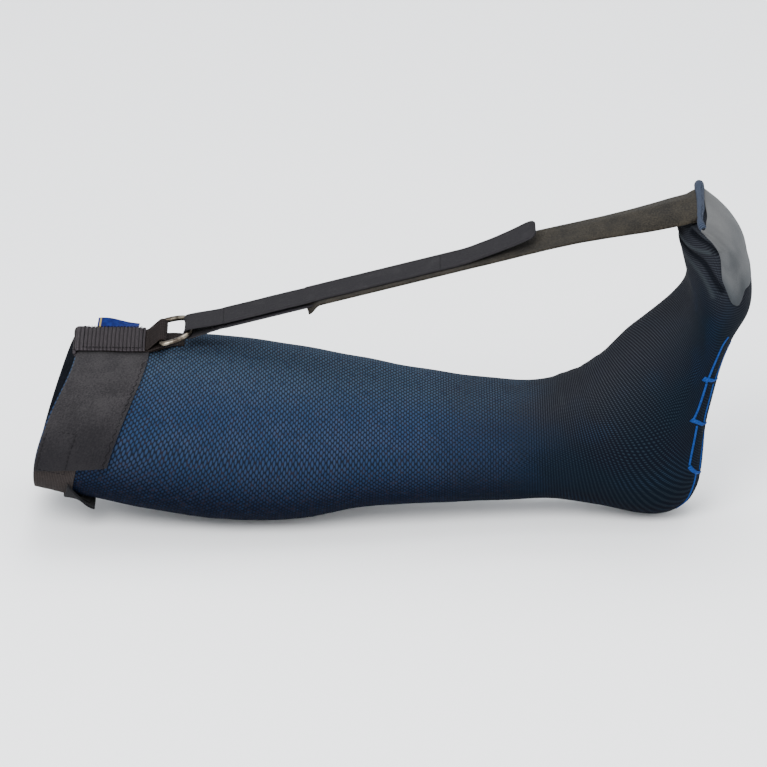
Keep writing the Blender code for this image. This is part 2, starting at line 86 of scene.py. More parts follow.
# The sock's cross-sections from the knee rim to the toe slit, measured from the ankle axis
# front x, front z, back x, back z, half width
SECTIONS = np.array((
    (-0.3645, 0.0750, -0.3965, -0.0250, 0.0540),  # 0 knee rim
    (-0.3160, 0.0742, -0.3530, -0.0360, 0.0570),  # 1 lower edge of the cuff
    (-0.2710, 0.0738, -0.2990, -0.0470, 0.0590),
    (-0.2360, 0.0698, -0.2520, -0.0530, 0.0590),  # 3 fullest calf
    (-0.2010, 0.0640, -0.2100, -0.0520, 0.0560),
    (-0.1660, 0.0574, -0.1695, -0.0440, 0.0510),  # 5
    (-0.1275, 0.0500, -0.1275, -0.0420, 0.0450),
    (-0.0925, 0.0454, -0.0910, -0.0412, 0.0400),
    (-0.0575, 0.0424, -0.0560, -0.0408, 0.0360),  # 8 slimmest
    (-0.0350, 0.0437, -0.0290, -0.0408, 0.0355),
    (-0.0205, 0.0503, 0.0000, -0.0455, 0.0360),  # 10 ankle bones
    (-0.0090, 0.0574, 0.0275, -0.0515, 0.0365),
    (0.0012, 0.0658, 0.0470, -0.0515, 0.0360),
    (0.0098, 0.0750, 0.0622, -0.0440, 0.0355),  # 13 corner of the heel
    (0.0184, 0.0840, 0.0693, -0.0315, 0.0360),
    (0.0296, 0.0932, 0.0720, -0.0170, 0.0365),  # 15
    (0.0407, 0.1024, 0.0732, -0.0010, 0.0370),
    (0.0508, 0.1119, 0.0744, 0.0185, 0.0385),  # 17 arch
    (0.0578, 0.1214, 0.0787, 0.0417, 0.0410),
    (0.0590, 0.1308, 0.0840, 0.0649, 0.0440),
    (0.0571, 0.1392, 0.0918, 0.0880, 0.0465),  # 20
    (0.0551, 0.1480, 0.1023, 0.1089, 0.0475),  # 21 ball of the foot
    (0.0540, 0.1560, 0.1041, 0.1244, 0.0465),
    (0.0535, 0.1625, 0.1005, 0.1395, 0.0445),
    (0.0548, 0.1680, 0.0966, 0.1542, 0.0420),  # 24 toe pads
    (0.0590, 0.1730, 0.0862, 0.1665, 0.0392),
    (0.0650, 0.1762, 0.0696, 0.1790, 0.0370),  # 26 toe slit
))
TOE_SLIT = len(SECTIONS) - 1
SQUARENESS = 2.4
LEG_EGG, FOOT_EGG = 0.05, 0.16
EGG_PLACES = (9.0, 13.0)
KNIT = 0.0016

# Knit pattern: the cloth is laid out flat, with the same number of loops all the way down
GIRTH = 0.36
DASH_ROWS = 182
DASH_LENGTH = 0.0038
DASH_HALVES = (0.21, 0.34)  # half length and half width of a stroke, as shares of its cell
COURSE, LOOP = 0.0018, GIRTH / DASH_ROWS / 1.3
FOOT_SKEW = 0.30
SKEW_PLACES = (9.0, 15.0)

# Cuff
RIM_RISE = 0.18  # how far the rim rises at the sides of the leg, as a share of the cuff's width
CUFF_NEAR_END, CUFF_FAR_END = -113.0, 170.0
CUFF_SLANT = 13.0  # degrees by which the near end comes forward at the cuff's lower edge
ELASTIC_NEAR, ELASTIC_FAR, ELASTIC_SEWN = -90.0, -270.0, -84.0
PANEL, ELASTIC = 0.0018, 0.0012
LAYER_GAP = 0.0003
FLAP_START, FLAP_END, FLAP_SLANT = 171.4, 210.0, 30.0
FLAP_WIDTH, FLAP, FLAP_PAD = 0.0240, 0.0015, 0.0009
SEWING_RADIUS, SEWING_RISE = 0.00018, 0.0004

# Strap layers and widths
HOOK_TAPE, LOOP_TAPE, WEBBING, RIB_TAPE = 0.0013, 0.0016, 0.0012, 0.0015
LAYER = (HOOK_TAPE + LOOP_TAPE) / 2.0 + LAYER_GAP
RIB_FROM, RIB_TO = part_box("rib_tape")[0].x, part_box("rib_tape")[1].x
RIB_PITCH = (RIB_TO - RIB_FROM) / 17.0
HOOK_HALF, LOOP_HALF, LOOP_TOE_HALF = 0.0128, 0.0178, 0.0255
WEBBING_HALF, RIB_HALF = 0.0168, 0.0186
WIRE_RADIUS = 0.0019
RING_HALF, RING_DEPTH, RING_CORNER, RING_POWER = 0.0198, 0.0204, 0.0030, 3.1
TURN_GAP = 0.0008
BUTT_RADIUS = 0.00008  # ends of tape pieces that meet without a groove
TURN_RADIUS = WIRE_RADIUS + TURN_GAP + HOOK_TAPE / 2.0
TURN_END, ROOT_END = 0.0450, 0.0870
JOINT_START, LOWER_END = 0.1030, 0.1260
PEEL_DISTANCE = float((PEEL_AT - BAR) @ ALONG)
TIP_START, PEEL_BEND = PEEL_DISTANCE - 0.0110, 0.010
TAIL_END, TAIL_ROUNDING, TAIL_LIFT = 0.2715, 0.0065, 0.0088
WIDEN_START, LOOP_END = 0.2950, 0.3838


# ---------------------------------------------------------------- the sock's surface


def smooth(start, end, value):
    share = np.clip((np.asarray(value, float) - start) / (end - start), 0.0, 1.0)
    return share * share * (3.0 - 2.0 * share)


def catmull(table, place):
    """Smooth rows of a table at fractional indices."""
    table = np.asarray(table, float)
    wide = np.vstack((2.0 * table[0] - table[1], table, 2.0 * table[-1] - table[-2]))
    start = np.clip(np.floor(place).astype(int), 0, len(table) - 2)
    share = (place - start)[..., None]
    first, second, third, fourth = (wide[start + step] for step in range(4))
    bend = 2.0 * first - 5.0 * second + 4.0 * third - fourth
    twist = 3.0 * (second - third) + fourth - first
    return second + 0.5 * share * (third - first + share * (bend + share * twist))


def rounded(value):
    return np.sign(value) * np.abs(value) ** (2.0 / SQUARENESS)


def skin(place, degrees, lift=0.0):
    """Points on the sock; lift is their height above it."""
    place, degrees, lift = np.broadcast_arrays(*(np.asarray(item, float)
                                                 for item in (place, degrees, lift)))
    row = catmull(SECTIONS, place)
    nil = np.zeros_like(place)
    front = np.stack((row[..., 0], nil, row[..., 1]), -1)
    back = np.stack((row[..., 2], nil, row[..., 3]), -1)
    arm = (front - back) / 2.0
    reach = np.linalg.norm(arm, axis=-1)
    arm = arm * ((reach + lift) / reach)[..., None]
    turn = np.radians(degrees)
    deep, side = rounded(np.cos(turn)), rounded(np.sin(turn))
    egg = LEG_EGG + (FOOT_EGG - LEG_EGG) * smooth(*EGG_PLACES, place)
    points = (front + back) / 2.0 + arm * deep[..., None] + ANKLE
    points[..., 1] += (row[..., 4] + lift) * side * (1.0 - egg * deep)
    return points


def off_skin(place, degrees, lift=0.0):
    """Points on the sock and the ways out of it."""
    low = skin(place, degrees, lift)
    return low, (skin(place, degrees, lift + 0.001) - low) / 0.001


def running(points):
    """Distance of each point from the first, along their line."""
    steps = np.linalg.norm(np.diff(points, axis=0), axis=-1)
    return np.concatenate(((0.0,), np.cumsum(steps)))


def beside(first, run, columns, reach):
    """A line's values at a distance along it, and the two parts of the way square to it."""
    here = [np.interp(first, run, column) for column in columns]
    ahead = [np.interp(first + reach, run, column) - np.interp(first - reach, run, column)
             for column in columns[:2]]
    size = np.hypot(*ahead)
    return here, ahead[1] / size, -ahead[0] / size


def run_of(place):
    """Distance along the sock's middle line."""
    steps = np.linspace(0.0, TOE_SLIT, 1041)
    rows = catmull(SECTIONS, steps)
    middle = (rows[:, 0:2] + rows[:, 2:4]) / 2.0
    return np.interp(place, steps, running(middle))


def line_distance(points, line):
    """Distance of each point from a line of short straight stretches."""
    nearest = np.full(points.shape[:-1], 1e9)
    for start, end in zip(line[:-1], line[1:]):
        ahead = end - start
        share = np.clip(((points - start) @ ahead) / (ahead @ ahead), 0.0, 1.0)
        gap = np.linalg.norm(points - start - share[..., None] * ahead, axis=-1)
        nearest = np.minimum(nearest, gap)
    return nearest


def wavy(first, second, size, seed, count=7):
    """Soft unevenness between about -1 and 1, the same on each run."""
    draw = np.random.default_rng(seed)
    total = np.zeros(np.broadcast(first, second).shape)
    for _ in range(count):
        turn, phase = draw.uniform(0.0, 2.0 * math.pi, 2)
        scale = 2.0 * math.pi / (size * draw.uniform(0.6, 1.7))
        total += np.sin((first * math.cos(turn) + second * math.sin(turn)) * scale + phase)
    return total / count ** 0.5 / 1.4


# Folds of the knit: (places and degrees on the near side), height, half width of the fold
FOLDS = (
    (((23.0, 0), (23.15, 35), (23.65, 66), (24.0, 84)), 0.0022, 0.0021),
    (((22.4, 8), (22.6, 40), (22.8, 70), (22.1, 84), (21.7, 93)), -0.0026, 0.0024),
    (((21.9, 0), (21.9, 40), (21.7, 66), (21.0, 84)), 0.0014, 0.0030),
    (((24.5, 36), (24.6, 54), (24.6, 80), (24.2, 96)), -0.0024, 0.0021),
    (((25.2, 34), (25.2, 60), (25.0, 88), (24.5, 101)), 0.0013, 0.0016),
    (((9.4, 0), (9.5, 40), (9.9, 76)), 0.0005, 0.0032),
    (((10.4, 0), (10.5, 40), (10.8, 80)), -0.0005, 0.0030),
    (((11.4, 0), (11.5, 40), (11.6, 70)), 0.0004, 0.0034),
)


def folds(place, degrees):
    """How far the knit stands off its plain shape."""
    place, degrees = np.broadcast_arrays(np.asarray(place, float), np.asarray(degrees, float))
    points = skin(place, degrees)
    total = 0.0004 * wavy(run_of(place), GIRTH * degrees / 360.0, 0.055, 5)
    for outline, height, width in FOLDS:
        steps = np.linspace(0.0, len(outline) - 1.0, 5 * (len(outline) - 1) + 1)
        corners = catmull(np.array(outline, float), steps)
        gaps = [line_distance(points, skin(corners[:, 0], corners[:, 1] * side))
                for side in (-1.0, 1.0)]
        total = total + height * np.exp(-(np.minimum(*gaps) / width) ** 2)
    return total


def rim_rise(degrees):
    """How far the cuff's edges rise towards the knee at the sides, as a share of a section."""
    return RIM_RISE * np.maximum(-np.sin(np.radians(degrees)), 0.0) ** 3


# ---------------------------------------------------------------- meshes


def make_piece(name, points, faces, look, flat=None, corners=None, more=None, lining=None):
    """Smooth-shaded mesh; flat gives each point, or corners each face corner, a place on the
    flat cloth in metres, and more adds further maps. lining is a second look and its faces."""
    mesh = bpy.data.meshes.new(name)
    mesh.from_pydata(np.asarray(points, float).reshape(-1, 3).tolist(), [],
                     [list(map(int, face)) for face in faces])
    index = np.zeros(len(mesh.loops), int)
    mesh.loops.foreach_get("vertex_index", index)
    maps = {"Metres": flat[index] if corners is None else corners}
    maps.update(more or {})
    for title, values in maps.items():
        layer = mesh.uv_layers.new(name=title)
        layer.data.foreach_set("uv", np.ascontiguousarray(values, np.float32).ravel())
    bm = bmesh.new()
    bm.from_mesh(mesh)
    bmesh.ops.recalc_face_normals(bm, faces=bm.faces)
    bm.to_mesh(mesh)
    bm.free()
    mesh.shade_smooth()
    mesh.materials.append(look)
    if lining:
        mesh.materials.append(lining[0])
        mesh.polygons.foreach_set("material_index", np.asarray(lining[1], np.int32))
    piece = bpy.data.objects.new(name, mesh)
    bpy.context.scene.collection.objects.link(piece)
    return piece


def spaced(length, step, radius):
    """Places along a length, drawn together at its two rounded ends."""
    ends = radius * (1.0 - np.cos(np.radians((0.0, 30.0, 60.0, 90.0))))
    middle = np.linspace(radius, length - radius, max(int(length / step), 2) + 1)[1:-1]
    return np.concatenate((ends, middle, length - ends[::-1]))


def edge_roundness(places, length, radius):
    inside = np.minimum(np.minimum(places, length - places), radius) / radius
    return np.sqrt(np.maximum(1.0 - (1.0 - inside) ** 2, 0.0))


def cloth(name, length, width, thickness, place_at, look, step=0.0015, radius=None,
          end_radius=None):
    """Closed sheet with rounded edges. place_at turns places along and across the flat cloth
    and a height above its middle into points."""
    radius = radius or thickness / 2.0
    end_radius = end_radius or radius
    along, across = spaced(length, step, end_radius), spaced(width, step, radius)
    first, second = np.meshgrid(along, across, indexing="ij")
    puff = edge_roundness(first, length, end_radius) * edge_roundness(second, width, radius)
    top = place_at(first, second, puff * thickness / 2.0)
    bottom = place_at(first, second, -puff * thickness / 2.0)
    rows, columns = first.shape
    upper = np.arange(rows * columns).reshape(rows, columns)
    lower = upper + rows * columns
    lower[0], lower[-1], lower[:, 0], lower[:, -1] = upper[0], upper[-1], upper[:, 0], upper[:, -1]
    faces = np.concatenate((quads(upper), quads(lower)[:, ::-1]))
    used, faces = np.unique(faces, return_inverse=True)
    faces = faces.reshape(-1, 4)
    points = np.concatenate((top.reshape(-1, 3), bottom.reshape(-1, 3)))[used]
    flat = np.stack((first, second), -1).reshape(-1, 2)
    return make_piece(name, points, faces, look, flat=np.concatenate((flat, flat))[used])


def quads(index):
    corners = (index[:-1, :-1], index[1:, :-1], index[1:, 1:], index[:-1, 1:])
    return np.stack(corners, -1).reshape(-1, 4)


def turning_frames(path, start):
    """Two directions square to the path at each of its points."""
    ahead = np.gradient(path, axis=0)
    ahead /= np.linalg.norm(ahead, axis=1)[:, None]
    side = np.array(start, float)
    sides = []
    for direction in ahead:
        side = side - direction * (side @ direction)
        side = side / np.linalg.norm(side)
        sides.append(side)
    sides = np.array(sides)
    return sides, np.cross(ahead, sides)


def tube_faces(rows, sides, closed=False):
    """Faces over rings of points, capped at both ends or joined into a loop."""
    index = np.arange(rows * sides).reshape(rows, sides)
    index = np.hstack((index, index[:, :1]))
    if closed:
        index = np.vstack((index, index[:1]))
        return quads(index).tolist()
    return quads(index).tolist() + [index[0, :-1].tolist(), index[-1, :-1][::-1].tolist()]


def bar(path, radii, sides=14, closed=False, start=(0.31, 0.17, 0.94), squash=1.0):
    """Points, faces and flat places of a round bar along a path."""
    path = np.asarray(path, float)
    if closed:
        path = np.vstack((path[-1], path, path[0]))
    first, second = turning_frames(path, start)
    if closed:
        path, first, second = path[1:-1], first[1:-1], second[1:-1]
    radii = np.broadcast_to(np.asarray(radii, float), len(path))
    turn = np.linspace(0.0, 2.0 * math.pi, sides, endpoint=False)
    ring = (first[:, None] * np.cos(turn)[:, None] * squash
            + second[:, None] * np.sin(turn)[:, None])
    points = (path[:, None] + ring * radii[:, None, None]).reshape(-1, 3)
    flat = np.stack(np.meshgrid(running(path), turn * radii.max(), indexing="ij"), -1)
    return points, tube_faces(len(path), sides, closed), flat.reshape(-1, 2)


def joined(parts):
    """One mesh's points, faces and flat places from those of many."""
    points, faces, flat, count = [], [], [], 0
    for part_points, part_faces, part_flat in parts:
        points.append(part_points)
        faces += [[index + count for index in face] for face in part_faces]
        flat.append(part_flat)
        count += len(part_points)
    return np.concatenate(points), faces, np.concatenate(flat)


def stitch(start, end, out, radius, rise):
    """One stitch: a bit of thread that arches over the cloth and dives in at both ends."""
    share = np.array((0.0, 0.12, 0.35, 0.65, 0.88, 1.0))
    arch = rise * np.sqrt(np.maximum(1.0 - (2.0 * share - 1.0) ** 2, 0.0)) - radius * 1.2
    path = start + (end - start) * share[:, None] + np.asarray(out) * arch[:, None]
    return bar(path, radius * np.array((0.5, 0.95, 1.0, 1.0, 0.95, 0.5)), sides=6)


def seam(name, pairs, looks, radius=0.00026, rise=0.0006):
    """Row of stitches; each one has a start, an end and the way out of the cloth."""
    points, faces, flat = joined([stitch(np.asarray(start), np.asarray(end), out, radius, rise)
                                  for start, end, out in pairs])
    return make_piece(name, points, faces, looks["thread"], flat=flat)


def on_sock(place_of, low):
    """place_at function for a cloth that lies on the sock: place_of gives places and degrees."""
    def place_at(first, second, height):
        place, degrees = place_of(first, second)
        return skin(place, degrees, folds(place, degrees) + low(place, degrees) + height)
    return place_at


def stand(piece, body, slot, *nodes):
    """The piece rides on a body and stands for its CAD nodes, which it hides; slot is not used."""
    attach(piece, body)
    finish_of(piece, slot, *nodes)
    return piece


def finish_of(piece, slot, *nodes):
    if nodes:
        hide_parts(*nodes)


# ---------------------------------------------------------------- materials


STUDIO_SHARE = 0.30  # a surface's own colour against the level it shows under these lamps
CLOTH_SPECULAR = 0.04


def linear(red, green, blue, share=STUDIO_SHARE):
    """Surface colour that shows at about these display levels, from 0 to 255."""
    levels = [level / 255.0 for level in (red, green, blue)]
    return tuple(share * (level / 12.92 if level <= 0.04045 else ((level + 0.055) / 1.055) ** 2.4)
                 for level in levels)


class Look:
    """A node material, built by short calls that hand on sockets."""

    def __init__(self, name, roughness=0.85, sheen=0.0):
        self.material = bpy.data.materials.new(name)
        self.material.use_nodes = True
        self.tree = self.material.node_tree
        self.shader = self.tree.nodes["Principled BSDF"]
        self.maps = {}
        self.set("Roughness", roughness)
        self.set("Sheen Weight", sheen)
        self.set("Sheen Roughness", 0.6)
        self.set("Specular IOR Level", CLOTH_SPECULAR)

    def set(self, title, value):
        self.plug(self.shader.inputs[title], value)

    def plug(self, socket, value):
        if isinstance(value, bpy.types.NodeSocket):
            self.tree.links.new(value, socket)
        elif socket.type == "RGBA" and len(value) == 3:
            socket.default_value = (*value, 1.0)
        else:
            socket.default_value = value

    def node(self, kind):
        return self.tree.nodes.new(kind)

    def flat(self, name="Metres"):
        """Sockets with the two places on the flat cloth, and both as a vector."""
        if name not in self.maps:
            source = self.node("ShaderNodeUVMap")
            source.uv_map = name
            split = self.node("ShaderNodeSeparateXYZ")
            self.plug(split.inputs[0], source.outputs["UV"])
            self.maps[name] = (split.outputs[0], split.outputs[1], source.outputs["UV"])
        return self.maps[name]

    def math(self, operation, *values):
        made = self.node("ShaderNodeMath")
        made.operation = operation
        for socket, value in zip(made.inputs, values):
            self.plug(socket, value)
        return made.outputs[0]

    def add(self, first, second):
        return self.math("ADD", first, second)

    def times(self, first, second):
        return self.math("MULTIPLY", first, second)

    def ramp(self, value, start, end, low=0.0, high=1.0):
        made = self.node("ShaderNodeMapRange")
        made.interpolation_type = "SMOOTHSTEP"
        for socket, item in zip(made.inputs, (value, start, end, low, high)):
            self.plug(socket, item)
        return made.outputs[0]

    def mix(self, share, first, second):
        """Mix of two colours, each a socket or three display levels."""
        made = self.node("ShaderNodeMix")
        made.data_type = "RGBA"
        self.plug(made.inputs["Factor"], share)
        for socket, colour in zip(made.inputs[6:8], (first, second)):
            plain = not isinstance(colour, bpy.types.NodeSocket)
            self.plug(socket, linear(*colour) if plain else colour)
        return made.outputs[2]

    def noise(self, size, detail=3.0, stretch=(1.0, 1.0), distortion=0.0):
        """Noise on the flat cloth with lumps of about the given size."""
        scaled = self.node("ShaderNodeMapping")
        self.plug(scaled.inputs["Vector"], self.flat()[2])
        scaled.inputs["Scale"].default_value = (1.0 / stretch[0], 1.0 / stretch[1], 1.0)
        made = self.node("ShaderNodeTexNoise")
        self.plug(made.inputs["Vector"], scaled.outputs[0])
        made.inputs["Scale"].default_value = 1.0 / size
        made.inputs["Detail"].default_value = detail
        made.inputs["Distortion"].default_value = distortion
        return made.outputs["Fac"]

    def shake(self, size, amount, stretch=(1.0, 1.0)):
        """Uneven shift of up to half the amount either way."""
        return self.times(self.add(self.noise(size, 2.0, stretch), -0.5), amount)

    def wave(self, value, period, phase=None):
        """Soft ridges from 0 to 1, one in each period."""
        turns = self.times(value, 2.0 * math.pi / period)
        if phase:
            turns = self.add(turns, phase)
        return self.add(self.times(self.math("COSINE", turns), 0.5), 0.5)

    def colour(self, value):
        self.set("Base Color", value)

    def coat(self, share, colour):
        """Lays a colour over the one that is there."""
        below = self.shader.inputs["Base Color"].links[0].from_socket
        self.colour(self.mix(share, below, colour))

    def bump(self, height, depth, strength=0.8):
        made = self.node("ShaderNodeBump")
        made.inputs["Distance"].default_value = depth
        made.inputs["Strength"].default_value = strength
        self.plug(made.inputs["Height"], height)
        self.set("Normal", made.outputs[0])


def knit_strokes(look, along, around, wander):
    """Two interleaved lattices of soft elliptical strokes."""
    row = look.times(around, 0.5 * DASH_ROWS / GIRTH)
    step = look.add(look.times(along, 1.0 / DASH_LENGTH), wander)
    strokes = []
    for shift in (0.0, 0.5):
        parts = []
        for value, half in zip((step, row), DASH_HALVES):
            off = look.add(look.math("FRACT", look.add(value, shift)), -0.5)
            off = look.times(off, 1.0 / half)
            parts.append(look.times(off, off))
        strokes.append(look.ramp(look.add(*parts), 1.9, 0.0))
    return look.math("MAXIMUM", *strokes)


def calf_colour(look, place, share, under, stroke):
    shin = look.ramp(share, 0.19, 0.04)
    blue = look.mix(look.ramp(look.noise(0.03, 2.0), 0.35, 0.7), (56, 84, 126), (70, 92, 130))
    blue = look.mix(look.ramp(place, 6.0, 9.0, 0.0, 0.6), blue, (36, 47, 68))
    blue = look.mix(look.times(shin, 0.8), blue, (86, 110, 136))
    # painted shade on the underside of the calf's blue strokes
    blue = look.mix(look.times(under, 0.9), blue, (20, 31, 56))
    blue = look.mix(look.ramp(look.noise(0.0055), 0.5, 0.68, 0.0, 0.5), blue, (40, 66, 104))
    dark = look.mix(shin, (37, 44, 58), (46, 52, 62))
    # painted shade on the underside of the dark net
    dark = look.mix(under, dark, (13, 17, 31))
    dark = look.mix(look.ramp(look.noise(0.0042, 2.0), 0.5, 0.66, 0.0, 0.5), dark, (58, 48, 56))
    return look.mix(stroke, dark, blue)


def foot_colour(look, place, share, under, bead):
    front = look.math("MAXIMUM", look.ramp(share, 0.27, 0.08), look.ramp(place, 19.5, 22.5))
    front = look.times(front, 0.8)
    glint = look.ramp(look.noise(0.035, 1.0), 0.46, 0.66, 0.0, 0.45)
    lit = look.mix(glint, (44, 60, 74), (38, 78, 120))
    lit = look.mix(front, lit, (94, 97, 104))
    # painted shade on the underside of the foot
    lit = look.mix(look.times(under, 0.5), lit, (46, 52, 58))
    navy = look.mix(look.ramp(look.noise(0.04, 2.0), 0.4, 0.65), (17, 28, 41), (21, 25, 38))
    navy = look.mix(front, navy, (42, 43, 50))
    fold = look.flat("Folds")[0]
    sole = look.mix(bead, navy, lit)
    # painted shade in the hollows of the knit's folds
    sole = look.mix(look.ramp(fold, -0.0004, -0.0022, 0.0, 0.72), sole, (12, 17, 26))
    # painted highlight on the ridges of the knit's folds
    return look.mix(look.ramp(fold, 0.0005, 0.0019, 0.0, 0.42), sole, (84, 92, 96))


def knit_look():
    """Blue strokes on a dark net down the calf, fine beaded courses on the foot."""
    look = Look("knit", 0.95)
    along, around, _ = look.flat()
    place, share, _ = look.flat("Places")
    wander = look.shake(0.006, 0.5)
    stroke = knit_strokes(look, along, around, wander)
    course = look.wave(along, COURSE, look.times(wander, 2.5))
    loops = look.wave(look.add(around, look.times(along, 0.5)), LOOP)
    bead = look.times(look.ramp(course, 0.25, 0.9), look.ramp(loops, 0.1, 0.9))
    foot = look.ramp(look.add(place, look.shake(0.05, 3.0)), 5.6, 9.9)
    # painted shade: mask for the darker underside of the leg and foot
    under = look.ramp(share, 0.215, 0.35)
    look.colour(look.mix(foot, calf_colour(look, place, share, under, stroke),
                         foot_colour(look, place, share, under, bead)))
    calf_height = look.times(stroke, 0.7)
    foot_height = look.add(look.times(bead, 0.5), look.times(course, 0.35))
    rise = look.add(foot_height, look.times(calf_height, -1.0))
    look.bump(look.add(calf_height, look.times(rise, foot)), 0.0004, 0.6)
    return look


def fleece_look(name, dark, light, speckle, size=0.0011, patches=0.02, depth=0.0003):
    """Brushed loop pile: tiny tufts, with paler speckles and broad areas of wear."""
    look = Look(name, 0.95, 0.03)
    fine = look.noise(size, 4.0, distortion=0.6)
    tuft = look.noise(size * 0.45, 2.0)
    broad = look.noise(patches)
    tone = look.add(look.times(fine, 0.6), look.times(broad, 0.4))
    look.colour(look.mix(look.ramp(tone, 0.36, 0.64), dark, light))
    look.coat(look.ramp(tuft, 0.60, 0.78, 0.0, 0.55), speckle)
    look.set("Roughness", look.ramp(broad, 0.3, 0.7, 0.9, 1.0))
    look.bump(look.add(fine, look.times(tuft, 0.7)), depth, 0.9)
    return look


def cuff_look():
    """Cuff fleece, with painted shade darkening it towards its near end behind the leg."""
    look = fleece_look("cuff_fleece", (54, 52, 55), (82, 79, 81), (108, 104, 102))
    # painted shade: darker towards the near end, on the lower side behind the leg
    look.coat(look.ramp(look.flat()[0], 0.050, 0.006, 0.0, 0.62), (30, 28, 34))
    return look


def weave_look(name, dark, light, along_step, across_step, roughness=0.8, depth=0.00022,
               wear=None):
    """Woven tape: over-and-under threads with a little unevenness."""
    look = Look(name, roughness)
    along, across, _ = look.flat()
    shake = look.shake(0.004, 1.6)
    warp = look.wave(across, across_step, shake)
    weft = look.wave(along, along_step, shake)
    over = look.wave(look.add(look.times(along, 0.5 / along_step),
                              look.times(across, 0.5 / across_step)), 1.0)
    under = look.add(1.0, look.times(over, -1.0))
    height = look.add(look.times(weft, over), look.times(warp, under))
    grain = look.noise(0.0022)
    tone = look.add(look.times(height, 0.65), look.times(grain, 0.5))
    look.colour(look.mix(look.ramp(tone, 0.25, 0.85), dark, light))
    if wear:
        look.coat(look.ramp(look.noise(0.012), 0.5, 0.75, 0.0, 0.5), wear)
    look.set("Roughness", look.ramp(grain, 0.3, 0.7, roughness - 0.08, roughness + 0.08))
    look.bump(height, depth)
    return look


def rib_tape_look():
    """Ribbed tape: woven like the rest, with painted shade in the grooves between its ribs."""
    look = weave_look("rib_tape", (46, 42, 45), (100, 94, 98), 0.0008, 0.0007)
    # painted shade: dark colour laid into the grooves between the ribs
    groove = look.wave(look.flat()[0], RIB_PITCH, look.shake(0.004, 1.2, (1.0, 3.0)))
    look.coat(look.ramp(groove, 0.55, 0.95, 0.0, 0.7), (20, 18, 19))
    return look


def patch_look():
    """Smooth synthetic suede, with painted shade at its lower edge and painted light towards the
    toe seam.
    """
    look = Look("patch", 0.8, 0.04)
    up = look.flat()[1]
    fine, cloudy = look.noise(0.0008), look.noise(0.018)
    tone = look.ramp(look.add(look.times(cloudy, 0.75), look.times(fine, 0.25)), 0.35, 0.65)
    rubbed = look.mix(tone, (96, 99, 102), (120, 122, 124))
    # painted light: the paler colour towards the toe seam; painted shade: the darker colour at the
    # lower edge
    painted_light_high = look.mix(tone, (112, 113, 114), (134, 135, 135))
    painted_shade_low = look.mix(tone, (70, 75, 80), (90, 95, 100))
    shade = look.mix(look.ramp(up, 0.016, 0.0), rubbed, painted_shade_low)
    look.colour(look.mix(look.ramp(up, 0.026, 0.044), shade, painted_light_high))
    look.set("Roughness", look.ramp(cloudy, 0.3, 0.7, 0.62, 0.78))
    look.bump(look.add(fine, look.times(cloudy, 0.4)), 0.00012, 0.7)
    return look


def metal_look():
    """Dark plated wire, rubbed bright in places, with faint drawing marks."""
    look = Look("ring_metal")
    look.set("Specular IOR Level", 0.5)
    look.set("Metallic", 1.0)
    rubbed = look.noise(0.006, 4.0)
    marks = look.noise(0.0012, 2.0, (9.0, 1.0))
    look.colour(look.mix(look.ramp(rubbed, 0.42, 0.66), (58, 52, 46, 1.0),
                         (128, 120, 106, 1.0)))
    tone = look.add(look.times(marks, 0.5), look.times(rubbed, 0.5))
    look.set("Roughness", look.ramp(tone, 0.3, 0.7, 0.44, 0.26))
    look.bump(marks, 0.00004, 0.6)
    return look


def label_look():
    """Blue satin ribbon with a yellow selvedge stripe."""
    look = Look("label", 0.5)
    along, across, _ = look.flat()
    stripe = look.times(look.ramp(along, 0.0012, 0.0015), look.ramp(along, 0.0027, 0.0024))
    warp, weft = look.wave(along, 0.00045), look.wave(across, 0.0006)
    look.colour(look.mix(look.ramp(look.noise(0.004, 2.0), 0.35, 0.7), (14, 34, 120),
                         (26, 58, 158)))
    look.coat(look.times(warp, 0.35), (10, 22, 80))
    look.coat(stripe, (214, 190, 110))
    look.bump(look.add(warp, weft), 0.00008, 0.7)
    return look


def piping_look():
    """Slate blue binding with fine ribs round the roll."""
    look = Look("piping", 0.85, 0.02)
    ribs = look.wave(look.flat()[0], 0.0011, look.times(look.noise(0.003, 2.0), 3.0))
    grain = look.times(look.noise(0.0016), 0.5)
    tone = look.add(look.times(ribs, 0.5), grain)
    look.colour(look.mix(look.ramp(tone, 0.25, 0.75), (50, 60, 80), (92, 104, 126)))
    look.bump(look.add(ribs, grain), 0.00022)
    return look


def thread_look():
    """Twisted sewing thread."""
    look = Look("thread", 0.7)
    along, around, _ = look.flat()
    twist = look.wave(look.add(along, look.times(around, 0.6)), 0.0006)
    look.colour(look.mix(twist, (22, 22, 25), (48, 47, 50)))
    look.bump(twist, 0.0001)
    return look


def print_look():
    """Printed blue line, a little broken by the knit below."""
    look = Look("sole_print", 0.7)
    fine = look.noise(0.0012)
    look.colour(look.mix(look.ramp(fine, 0.35, 0.7), (24, 74, 160), (44, 104, 196)))
    look.bump(fine, 0.0002)
    return look


